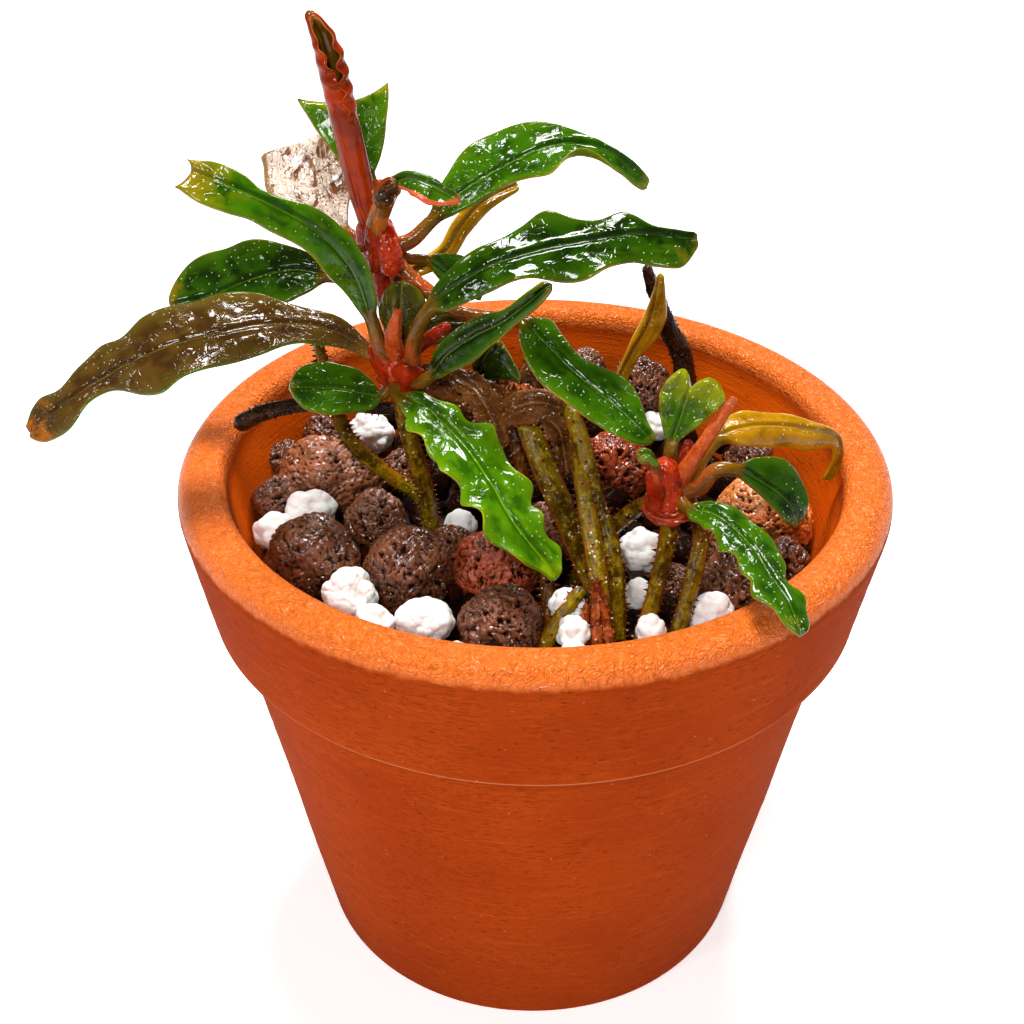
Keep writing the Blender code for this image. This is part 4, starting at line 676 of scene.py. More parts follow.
def stalk_geometry(stalk, ring, step, tooth_steps=2):
    """Vertices, faces and marks of a closed stem with a flattened, slightly lumpy section."""
    lengths = [math.dist(a, b) for a, b in zip(stalk.points, stalk.points[1:])]
    length = sum(lengths)
    rows = max(LEAST_STEM_ROWS, int(length / step))
    along = np.linspace(0.0, 1.0, rows)
    knots = np.concatenate(([0.0], np.cumsum(lengths))) / length
    places, ways, _ = hermite(stalk.points, along)
    radii = np.interp(along, knots, stalk.radii)
    radii = np.convolve(np.pad(radii, 3, "edge"), np.ones(7) / 7, "valid")
    from_ends = np.minimum(along * length, (1 - along) * length)
    radii = radii * round_end(from_ends, stalk.radii[-1])
    right_way = unit(np.cross(ways, np.array(stalk.face)))
    up_way = np.cross(right_way, ways)
    vertices, marks = [], {"margin": [], "along_mm": [], "round_x": [], "round_y": [], "teeth": []}
    seed = name_seed(stalk.name, 89)
    for i in range(rows):
        for k in range(ring):
            turn = 2 * math.pi * k / ring
            x, y = math.cos(turn), math.sin(turn)
            probe = Vector((x * 1.6, y * 1.6, along[i] * length * 0.55 + seed))
            lump = 1 + stalk.rough * (noise.noise(probe) + 0.5 * noise.noise(probe * 2.7))
            radius = radii[i] * lump
            vertices.append(places[i] + right_way[i] * x * radius + up_way[i] * y * radius * stalk.flat)
            at_margin = k % (ring // 2) == 0 or (k == ring // 4 and i % 3 == 0)
            marks["margin"].append(abs(x) ** 6 if 0.05 < along[i] < 0.97 else 0.0)
            marks["along_mm"].append(along[i] * length)
            marks["round_x"].append(x)
            marks["round_y"].append(y)
            marks["teeth"].append(float(at_margin and (i + (k > 0)) % tooth_steps == 0))
    last = len(vertices) - ring
    faces = []
    for i in range(rows - 1):
        for k in range(ring):
            a, b = i * ring + k, i * ring + (k + 1) % ring
            c, d = a + ring, b + ring
            if i == 0:
                faces.append((0, c, d))
            elif i == rows - 2:
                faces.append((a, last, b))
            else:
                faces.append((a, c, d, b))
    return used_only(vertices, faces, marks)


def feed(tree, node, inputs):
    """Links each input of a node that is given a socket, and sets the others."""
    for label, value in inputs.items():
        if isinstance(value, bpy.types.NodeSocket):
            tree.links.new(value, node.inputs[label])
        else:
            node.inputs[label].default_value = value


def add_node(tree, kind, inputs, output=0, **options):
    """One output of a new node, whose options are set before its inputs."""
    node = tree.nodes.new(kind)
    for option, value in options.items():
        setattr(node, option, value)
    feed(tree, node, inputs)
    return node.outputs[output]


def new_tree(name, sockets):
    """A geometry node tree, its inputs by name, and a function that adds nodes to it."""
    tree = bpy.data.node_groups.new(name, "GeometryNodeTree")
    for label, kind in {"Geometry": "Geometry", **sockets}.items():
        tree.interface.new_socket(label, in_out="INPUT", socket_type="NodeSocket" + kind)
    tree.interface.new_socket("Geometry", in_out="OUTPUT", socket_type="NodeSocketGeometry")

    def add(kind, inputs=None, output=0, **options):
        return add_node(tree, kind, inputs or {}, output, **options)

    return tree, tree.nodes.new("NodeGroupInput").outputs, add


def close_tree(tree, geometry):
    """Leads a geometry to the output of its tree."""
    feed(tree, tree.nodes.new("NodeGroupOutput"), {"Geometry": geometry})
    return tree


def apply_tree(piece, tree, values):
    """Runs a node tree on a piece, keeps the result as its plain mesh and drops the modifier."""
    modifier = piece.modifiers.new(tree.name, "NODES")
    modifier.node_group = tree
    for item in tree.interface.items_tree:
        if item.item_type == "SOCKET" and item.in_out == "INPUT" and item.name in values:
            modifier[item.identifier] = values[item.name]
    piece.update_tag()
    bpy.context.view_layer.update()
    graph = bpy.context.evaluated_depsgraph_get()
    made = bpy.data.meshes.new_from_object(piece.evaluated_get(graph), depsgraph=graph)
    made.name = piece.name
    piece.modifiers.remove(modifier)
    old = piece.data
    piece.data = made
    bpy.data.meshes.remove(old)
    made.shade_smooth()


def wart_tree():
    """Scatters small warts over a stem, and sharper teeth along its margins."""
    tree, entry, add = new_tree("stem_warts", {
        "Spacing": "Float", "Wart Radius": "Float", "Tooth Length": "Float", "Seed": "Int",
        "Material": "Material", "Tooth Material": "Material"})
    skin, seed, tooth_length = entry["Geometry"], entry["Seed"], entry["Tooth Length"]
    points = add("GeometryNodeDistributePointsOnFaces", {
        "Mesh": skin, "Seed": seed, "Distance Min": entry["Spacing"], "Density Max": WART_DENSITY},
        "Points", distribute_method="POISSON")
    wart = add("GeometryNodeMeshIcoSphere", {"Subdivisions": 1, "Radius": entry["Wart Radius"]})
    at_tooth = add("GeometryNodeInputNamedAttribute", {"Name": "teeth"}, data_type="FLOAT")
    upright = add("FunctionNodeAlignRotationToVector", {"Vector": add("GeometryNodeInputNormal")},
                  axis="Z")
    width = add("ShaderNodeMath", {0: tooth_length, 1: TOOTH_WIDTH}, operation="MULTIPLY")
    tooth = add("GeometryNodeMeshCone", {"Vertices": 6, "Radius Top": TOOTH_POINT,
                                         "Radius Bottom": width, "Depth": tooth_length})
    over_skin = {"Points": points, "Rotation": points.node.outputs["Rotation"]}
    on_margin = {"Points": skin, "Selection": at_tooth, "Rotation": upright}
    shapes = ((False, wart, (0.45, 1.15), over_skin), (True, tooth, (0.3, 1.3), on_margin))
    join = tree.nodes.new("GeometryNodeJoinGeometry")
    for is_tooth, shape, (least, most), where in shapes:
        size = add("FunctionNodeRandomValue", {"Seed": seed, 2: least, 3: most}, 1, data_type="FLOAT")
        tagged = add("GeometryNodeStoreNamedAttribute", {
            "Geometry": shape, "Name": "tooth", "Value": is_tooth}, data_type="BOOLEAN", domain="FACE")
        placed = add("GeometryNodeInstanceOnPoints", {**where, "Instance": tagged, "Scale": size})
        feed(tree, join, {"Geometry": placed})
    feed(tree, join, {"Geometry": skin})
    whole = add("GeometryNodeRealizeInstances", {"Geometry": join.outputs[0]})
    is_tooth = add("GeometryNodeInputNamedAttribute", {"Name": "tooth"}, data_type="BOOLEAN")
    whole = add("GeometryNodeSetMaterial", {"Geometry": whole, "Material": entry["Material"]})
    return close_tree(tree, add("GeometryNodeSetMaterial", {
        "Geometry": whole, "Selection": is_tooth, "Material": entry["Tooth Material"]}))


def granule_tree():
    """Sets a lump on every point, sized by its own radius, and wrinkles it from noise."""
    tree, entry, add = new_tree("granules", {
        "Detail": "Int", "Lump Depth": "Float", "Lump Scale": "Float", "Wrinkle Depth": "Float",
        "Wrinkle Scale": "Float", "Seed": "Int", "Material": "Material"})
    ball = add("GeometryNodeMeshIcoSphere", {"Radius": 1.0, "Subdivisions": entry["Detail"]})
    turn = add("FunctionNodeRandomValue", {1: (math.tau,) * 3, "Seed": entry["Seed"]},
               data_type="FLOAT_VECTOR")
    stretch = add("FunctionNodeRandomValue", {
        0: (LEAST_STRETCH,) * 3, 1: (MOST_STRETCH,) * 3, "Seed": entry["Seed"]},
        data_type="FLOAT_VECTOR")
    radius = add("GeometryNodeInputNamedAttribute", {"Name": "radius"}, data_type="FLOAT")
    size = add("ShaderNodeVectorMath", {0: stretch, "Scale": radius}, operation="SCALE")
    placed = add("GeometryNodeInstanceOnPoints", {
        "Points": entry["Geometry"], "Instance": ball, "Rotation": turn, "Scale": size})
    whole = add("GeometryNodeRealizeInstances", {"Geometry": placed})
    where = add("GeometryNodeInputPosition")
    lump = add("ShaderNodeTexVoronoi", {"Vector": where, "Scale": entry["Lump Scale"]}, "Distance",
               feature="SMOOTH_F1")
    wrinkle = add("ShaderNodeTexNoise", {
        "Detail": 2.0, "Distortion": 0.6, "Vector": where, "Scale": entry["Wrinkle Scale"]}, "Fac",
        noise_type="RIDGED_MULTIFRACTAL")
    deep = add("ShaderNodeMath", {0: lump, 1: entry["Lump Depth"]}, operation="MULTIPLY")
    fine = add("ShaderNodeMath", {0: wrinkle, 1: entry["Wrinkle Depth"], 2: deep},
               operation="MULTIPLY_ADD")
    push = add("ShaderNodeVectorMath", {0: add("GeometryNodeInputNormal"), "Scale": fine},
               operation="SCALE")
    whole = add("GeometryNodeStoreNamedAttribute", {
        "Geometry": whole, "Name": "depth", "Value": wrinkle})
    whole = add("GeometryNodeSetPosition", {"Geometry": whole, "Offset": push})
    return close_tree(tree, add("GeometryNodeSetMaterial", {
        "Geometry": whole, "Material": entry["Material"]}))


class Shader:
    """One material: adds nodes to it, each in one call, and holds the colour made so far."""

    def __init__(self, name):
        self.material = bpy.data.materials.new(name)
        self.material.use_nodes = True
        self.tree = self.material.node_tree
        self.place = self.add("ShaderNodeTexCoord", {}, "Object")
        self.colour = None

    def add(self, kind, inputs, output=0, **options):
        return add_node(self.tree, kind, inputs, output, **options)

    def mark(self, name):
        """A number stored at the points of the mesh."""
        return self.add("ShaderNodeAttribute", {}, "Fac", attribute_name=name)

    def math(self, operation, *values):
        return self.add("ShaderNodeMath", dict(enumerate(values)), operation=operation)

    def times(self, first, second):
        return self.math("MULTIPLY", first, second)

    def away(self, value, middle):
        """How far a value is from the middle, on either side."""
        return self.math("ABSOLUTE", self.math("SUBTRACT", value, middle))

    def ramp(self, value, low, high, start=0.0, end=1.0):
        """A smooth step of a value between two limits."""
        return self.add("ShaderNodeMapRange", {
            "Value": value, "From Min": low, "From Max": high, "To Min": start, "To Max": end},
            "Result", interpolation_type="SMOOTHSTEP")

    def mix(self, share, first, second):
        """A colour between two, each of them a socket or three numbers in linear light."""
        ends = [value if isinstance(value, bpy.types.NodeSocket) else (*value, 1.0)
                for value in (first, second)]
        return self.add("ShaderNodeMix", {0: share, 6: ends[0], 7: ends[1]}, 2, data_type="RGBA")

    def coat(self, share, tone, strength=None):
        """Lays a tone over the colour made so far."""
        if strength is not None:
            share = self.times(share, strength)
        self.colour = self.mix(share, self.colour, tone)

    def noise(self, size_mm, detail=3.0, place=None, distortion=0.0, roughness=0.5):
        """Noise whose features are about that many millimetres across."""
        return self.add("ShaderNodeTexNoise", {
            "Vector": place or self.place, "Scale": 1.0 / (size_mm * (1.0 if place else MM)),
            "Detail": detail, "Distortion": distortion, "Roughness": roughness}, "Fac")

    def cells(self, size_mm, feature="F1", place=None, randomness=1.0, flat=False):
        """Distances within cells about that many millimetres across."""
        return self.add("ShaderNodeTexVoronoi", {
            "Vector": place or self.place, "Scale": 1.0 / (size_mm * (1.0 if place else MM)),
            "Randomness": randomness}, "Distance", voronoi_dimensions="2D" if flat else "3D",
            feature=feature)

    def spots(self, size_mm, low, high, patch_mm, patch_detail, patch_low, patch_high, place=None):
        """Round spots, in patches that a broader noise sets."""
        return self.times(self.ramp(self.cells(size_mm, place=place), low, high, 1.0, 0.0),
                          self.ramp(self.noise(patch_mm, patch_detail), patch_low, patch_high))

    def vector(self, x, y, z=0.0):
        return self.add("ShaderNodeCombineXYZ", {"X": x, "Y": y, "Z": z})

    def stretched(self, x, y, z):
        """The object's coordinates in millimetres, scaled along each axis."""
        return self.add("ShaderNodeMapping", {
            "Vector": self.place, "Scale": (x / MM, y / MM, z / MM)})

    def bump(self, height, depth_mm, strength=1.0):
        return self.add("ShaderNodeBump", {
            "Strength": strength, "Distance": depth_mm * MM, "Height": height}, "Normal")

    def finish(self, **values):
        """The material, with the colour made so far and the other inputs of its body."""
        if self.colour:
            values["Base_Color"] = self.colour
        feed(self.tree, self.tree.nodes["Principled BSDF"],
             {label.replace("_", " "): value for label, value in values.items()})
        return self.material


def dimmed(tone, share):
    """A colour with every channel cut to that share."""
    return tuple(channel * share for channel in tone)


class LeafTone(NamedTuple):
    """The colours of a leaf, in linear light, and how strongly its surface is crinkled.

    painted_sheen is how pale its painted sheen is, a painted highlight laid into its colour, and lean
    how much wider its right margin is than its left.
    """

    deep: tuple
    middle: tuple
    light: tuple
    margin: tuple
    tip: tuple
    under: tuple
    root: tuple = (0.36, 0.060, 0.012)
    stalk: tuple = (0.17, 0.078, 0.002)
    tip_start: float = 0.90
    crinkle: float = 0.6
    dots: float = 0.65
    painted_sheen: float = 0.0
    lean: float = 0.0


LEAF_TONES = {
    "green": LeafTone((0.010, 0.044, 0.0003), (0.030, 0.105, 0.0006), (0.080, 0.190, 0.0012),
                      (0.30, 0.20, 0.006), (0.20, 0.20, 0.003), (0.20, 0.27, 0.004), crinkle=0.9),
    "bright_green": LeafTone((0.022, 0.088, 0.0004), (0.065, 0.200, 0.0008), (0.16, 0.33, 0.0015),
                             (0.40, 0.40, 0.008), (0.20, 0.34, 0.003), (0.18, 0.28, 0.004),
                             tip_start=0.92, crinkle=0.6),
    "dark_green": LeafTone((0.004, 0.016, 0.0002), (0.016, 0.058, 0.0005), (0.055, 0.120, 0.001),
                           (0.26, 0.15, 0.005), (0.16, 0.11, 0.003), (0.13, 0.16, 0.003)),
    "green_gold_tip": LeafTone((0.012, 0.050, 0.0003), (0.036, 0.125, 0.0007), (0.095, 0.200, 0.0015),
                               (0.34, 0.22, 0.006), (0.28, 0.17, 0.003), (0.20, 0.27, 0.004),
                               tip_start=0.80, crinkle=0.6),
    "yellow_green": LeafTone((0.016, 0.060, 0.0006), (0.048, 0.125, 0.001), (0.15, 0.22, 0.003),
                             (0.34, 0.17, 0.010), (0.25, 0.25, 0.004), (0.24, 0.28, 0.008),
                             root=(0.26, 0.045, 0.006), stalk=(0.18, 0.09, 0.003), tip_start=0.62,
                             crinkle=1.0),
    "bronze": LeafTone((0.045, 0.018, 0.003), (0.082, 0.038, 0.006), (0.120, 0.082, 0.008),
                       (0.07, 0.16, 0.004), (0.36, 0.10, 0.006), (0.14, 0.14, 0.005),
                       root=(0.50, 0.16, 0.06), stalk=(0.30, 0.12, 0.02), tip_start=0.94,
                       crinkle=1.3, dots=0.5),
    "olive": LeafTone((0.030, 0.026, 0.0008), (0.075, 0.066, 0.0015), (0.14, 0.13, 0.003),
                      (0.16, 0.17, 0.006), (0.14, 0.13, 0.004), (0.12, 0.11, 0.004), crinkle=1.0),
    "copper": LeafTone((0.120, 0.036, 0.010), (0.24, 0.090, 0.030), (0.34, 0.19, 0.08),
                       (0.30, 0.21, 0.008), (0.42, 0.10, 0.015), (0.26, 0.16, 0.03),
                       stalk=(0.24, 0.08, 0.008), tip_start=0.95, crinkle=1.2, painted_sheen=0.9),
    "gold": LeafTone((0.24, 0.105, 0.001), (0.46, 0.20, 0.002), (0.60, 0.33, 0.005),
                     (0.56, 0.16, 0.008), (0.30, 0.22, 0.003), (0.30, 0.24, 0.004),
                     root=(0.34, 0.11, 0.004), stalk=(0.30, 0.15, 0.003), dots=1.0),
    "red_margin": LeafTone((0.014, 0.050, 0.001), (0.046, 0.12, 0.002), (0.12, 0.20, 0.005),
                           (0.62, 0.10, 0.03), (0.55, 0.10, 0.03), (0.46, 0.10, 0.02),
                           root=(0.40, 0.10, 0.012), stalk=(0.24, 0.085, 0.006), tip_start=0.86,
                           lean=0.35),
    "rolled": LeafTone((0.070, 0.030, 0.001), (0.15, 0.070, 0.003), (0.30, 0.10, 0.012),
                       (0.52, 0.10, 0.02), (0.50, 0.11, 0.010), (0.35, 0.029, 0.002),
                       root=(0.34, 0.030, 0.003), stalk=(0.27, 0.024, 0.002), tip_start=0.97,
                       crinkle=0.25, dots=0.0),
    "sheath": LeafTone((0.22, 0.010, 0.001), (0.38, 0.026, 0.002), (0.52, 0.10, 0.02),
                       (0.78, 0.30, 0.16), (0.50, 0.10, 0.02), (0.38, 0.022, 0.002),
                       root=(0.34, 0.024, 0.004), stalk=(0.36, 0.030, 0.005), tip_start=0.9,
                       crinkle=1.0, dots=0.0),
    "sheath_brown": LeafTone((0.070, 0.020, 0.002), (0.15, 0.050, 0.006), (0.30, 0.12, 0.04),
                             (0.46, 0.20, 0.10), (0.24, 0.08, 0.02), (0.16, 0.055, 0.010),
                             root=(0.10, 0.030, 0.003), stalk=(0.12, 0.040, 0.004), crinkle=1.2,
                             dots=0.3),
}

STEM_TONES = {
    "olive": ("stem_olive", (0.060, 0.030, 0.0004), (0.230, 0.140, 0.0010), (0.42, 0.29, 0.002),
              (0.24, 0.050, 0.002)),
    "olive_warty": ("stem_warty", (0.070, 0.036, 0.0004), (0.250, 0.155, 0.0010),
                    (0.42, 0.29, 0.002), (0.24, 0.060, 0.002)),
    "red_stem": ("stem_red", (0.10, 0.010, 0.001), (0.27, 0.042, 0.003), (0.50, 0.18, 0.02),
                 (0.46, 0.06, 0.006)),
    "rhizome": ("rhizome", (0.030, 0.007, 0.0004), (0.120, 0.038, 0.0010), (0.30, 0.130, 0.004),
                (0.26, 0.045, 0.003), 1.0),
    "dead": ("dead_tissue", (0.010, 0.004, 0.001), (0.036, 0.011, 0.003), (0.09, 0.032, 0.010),
             (0.06, 0.018, 0.004), 0.2),
    "tooth": ("tooth_brown", (0.040, 0.009, 0.001), (0.13, 0.030, 0.002), (0.34, 0.14, 0.02),
              (0.10, 0.02, 0.002)),
}

GROWTH_TONES = {
    "red": ("crown_red", (0.22, 0.006, 0.0004), (0.40, 0.020, 0.001), (0.55, 0.085, 0.008),
            (0.44, 0.026, 0.002), 0.3, 0.05),
    "pink": ("shoot_pink", (0.38, 0.040, 0.004), (0.48, 0.075, 0.010), (0.54, 0.13, 0.03),
             (0.50, 0.09, 0.015), 0.2, 0.05),
    "dead": ("knob_brown", (0.02, 0.006, 0.001), (0.10, 0.030, 0.002), (0.22, 0.085, 0.008),
             (0.20, 0.03, 0.003), 0.5),
}


def leaf_finish(name, tone):
    """Glossy wet leaf: mottled colour, pale dots in rows, a fine margin and crinkled gloss."""
    shade = Shader("finish_" + name)
    along, across, share, upper, blade, reach = (shade.mark(mark) for mark in (
        "along_mm", "across_mm", "share", "upper", "blade", "reach"))
    span = shade.math("ABSOLUTE", shade.mark("span"))
    side = shade.math("ABSOLUTE", across)
    on_leaf = shade.vector(along, across, upper)

    mottle = shade.noise(3.0, 4.0, distortion=0.5)
    streak = shade.noise(1.4, 3.0, shade.vector(shade.times(along, 0.35), across))
    shade.colour = shade.mix(shade.ramp(mottle, 0.36, 0.60), tone.deep, tone.middle)
    shade.coat(shade.math("MAXIMUM", shade.times(shade.ramp(streak, 0.50, 0.76), 0.5),
                          shade.times(shade.ramp(span, 0.50, 0.97), 0.55)), tone.light)
    shade.coat(shade.ramp(shade.away(side, 0.42), 0.05, 0.32, 0.75, 0.0), tone.deep)
    shade.coat(shade.ramp(side, 0.06, 0.17, 0.75, 0.0), tone.light)
    uneven = shade.times(shade.math("SUBTRACT", mottle, 0.5), 0.5)
    shade.coat(shade.ramp(shade.math("ADD", share, uneven), tone.tip_start, 1.04), tone.tip, 0.9)
    rows = shade.cells(1.0, place=shade.vector(along, across), randomness=0.75, flat=True)
    dots = shade.times(shade.ramp(rows, 0.06, 0.11, 1.0, 0.0),
                       shade.ramp(shade.noise(2.6, 2.0), 0.48, 0.60))
    shade.coat(dots, (0.62, 0.66, 0.30), tone.dots)
    rim = shade.math("MULTIPLY_ADD", shade.mark("span"), tone.lean, span)
    rim = shade.math("MULTIPLY_ADD", uneven, 0.06, rim)
    shade.coat(shade.ramp(rim, 0.95, 0.985), tone.margin)
    beneath = shade.mix(shade.ramp(mottle, 0.38, 0.60), dimmed(tone.under, 0.55), tone.under)
    colour = shade.mix(shade.ramp(upper, 0.2, 0.6), beneath, shade.colour)
    shade.colour = shade.mix(shade.ramp(reach, 0.35, 1.0), tone.root, tone.stalk)
    shade.coat(shade.ramp(streak, 0.42, 0.60, 0.8, 0.0), dimmed(tone.stalk, 0.5))
    shade.coat(shade.times(blade, shade.ramp(share, 0.0, 0.10)), colour)
    # Painted highlight: pale sheen patches painted into the colour, standing for the lights reflected
    # in the leaf.
    if tone.painted_sheen:
        patch = shade.noise(2.6, 5.0, on_leaf, distortion=1.2)
        worm = shade.away(shade.noise(1.0, 1.0, on_leaf, distortion=1.6), 0.5)
        sheen = shade.times(shade.ramp(worm, 0.012, 0.040), shade.ramp(patch, 0.38, 0.46))
        sheen = shade.times(sheen, shade.ramp(span, 0.86, 0.94, tone.painted_sheen, 0.0))
        shade.coat(shade.times(sheen, shade.times(blade, upper)), (0.86, 0.70, 0.58))

    lengthways = shade.vector(shade.times(along, 0.8), across, upper)
    cracks = shade.ramp(shade.cells(0.85, "DISTANCE_TO_EDGE", lengthways), 0.02, 0.12)
    cracks = shade.times(cracks, shade.ramp(shade.noise(4.0, 1.0, on_leaf), 0.42, 0.54))
    broad = shade.noise(2.6, 1.0, on_leaf, distortion=0.4)
    fine = shade.noise(0.5, 2.0, on_leaf, distortion=1.0)
    height = shade.math("MULTIPLY_ADD", broad, 0.9, shade.times(fine, 0.06))
    height = shade.math("ADD", height, shade.times(cracks, 0.18 * tone.crinkle))
    height = shade.math("ADD", height, shade.times(dots, 0.15))
    return shade.finish(
        Roughness=shade.ramp(shade.noise(0.7, 2.0), 0.3, 0.7, 0.04, 0.09),
        Normal=shade.bump(height, 0.30, min(1.0, tone.crinkle)),
        Specular_IOR_Level=shade.ramp(upper, 0.2, 0.6, 0.14, 0.30))


def stalk_finish(name, deep, middle, light, edge, painted_glint=0.8, soft=0.0):
    """Wet stem: ridges and streaks along its length, warmer margins, and pale specks that are painted
    glints.
    """
    shade = Shader("finish_" + name)
    ridges = shade.vector(shade.times(shade.mark("round_x"), 1.6),
                          shade.times(shade.mark("round_y"), 1.6),
                          shade.times(shade.mark("along_mm"), 0.16))
    streak = shade.noise(1.0, 3.0, ridges, distortion=0.4)
    blotch = shade.noise(0.9, 3.0)
    patchy = shade.noise(2.4, 3.0)
    share = shade.ramp(shade.math("MULTIPLY_ADD", patchy, 1.5, streak), 1.05, 1.45)
    shade.colour = shade.mix(share, deep, middle)
    shade.coat(shade.ramp(blotch, 0.52, 0.68), light, 0.6)
    shade.coat(shade.ramp(patchy, 0.56, 0.70), edge, 0.6)
    shade.coat(shade.ramp(shade.mark("margin"), 0.30, 0.80, 0.0, 0.85), edge)
    # Painted highlight: pale cream specks painted into the colour as glints.
    shade.coat(shade.spots(0.75, 0.14, 0.22, 2.2, 1.0, 0.50, 0.56), (0.95, 0.88, 0.62), painted_glint)
    height = shade.math("MULTIPLY_ADD", shade.noise(0.4, 2.0), 0.4, shade.math("ADD", blotch, streak))
    return shade.finish(
        Roughness=shade.ramp(shade.noise(0.7, 2.0), 0.3, 0.7, 0.06, 0.15),
        Normal=shade.bump(height, 0.35, 0.8), Specular_IOR_Level=0.26, Subsurface_Weight=soft,
        Subsurface_Scale=0.0008)


def stone_finish(name, tone):
    """Wet lava stone: warm ridges, creases and pits turned near-black with painted shade, and small
    bright glints.
    """
    shade = Shader("finish_" + name)
    grain = shade.noise(0.6, 3.0)
    warm = tuple(min(1.0, channel * 1.8 + 0.01) for channel in tone)
    shade.colour = shade.mix(shade.ramp(shade.noise(4.5, 3.0), 0.40, 0.66), tone, warm)
    shade.coat(shade.ramp(grain, 0.36, 0.54, 0.4, 0.0), dimmed(tone, 0.22))
    # Painted shade: where the depth mark is low, in creases and pits, the colour is darkened to
    # near-black.
    shade.coat(shade.ramp(shade.mark("depth"), 0.44, 0.88, 0.97, 0.0), dimmed(tone, 0.06))
    # Painted shade: near-black spots stand for the shade inside small pits.
    shade.coat(shade.spots(1.7, 0.12, 0.20, 3.0, 1.0, 0.50, 0.56), (0.004, 0.002, 0.001))
    creases = shade.ramp(shade.away(shade.noise(1.0, 1.0, distortion=1.6), 0.5), 0.0, 0.10)
    height = shade.math("MULTIPLY_ADD", shade.noise(1.2, 1.0), 0.8, shade.times(creases, 0.4))
    return shade.finish(
        Roughness=shade.ramp(grain, 0.3, 0.7, 0.03, 0.09), Normal=shade.bump(height, 0.25, 0.7),
        Specular_IOR_Level=shade.ramp(shade.mark("depth"), 0.42, 0.66, 0.03, 0.85))


def perlite_finish(settings):
    """Matt white lump with faint warm shade in its creases."""
    shade = Shader("finish_perlite")
    shade.colour = shade.mix(shade.ramp(shade.mark("depth"), 0.15, 0.75), settings.perlite_shade,
                             settings.perlite_light)
    return shade.finish(
        Roughness=0.8, Normal=shade.bump(shade.noise(0.4, 3.0), 0.08, 0.4), Specular_IOR_Level=0.3,
        Subsurface_Weight=0.2, Subsurface_Scale=0.002)


def bed_finish():
    """Wet near-black granules deep in the gaps, painted shade where the gaps between the stones are
    dark.
    """
    shade = Shader("finish_bed")
    grain = shade.noise(1.2, 3.0)
    # Painted shade: these near-black colours stand for the shade deep in the gaps.
    shade.colour = shade.mix(shade.ramp(grain, 0.35, 0.7), (0.006, 0.003, 0.002),
                             (0.05, 0.02, 0.012))
    return shade.finish(Roughness=0.8, Normal=shade.bump(grain, 0.5, 0.8), Specular_IOR_Level=0.1)


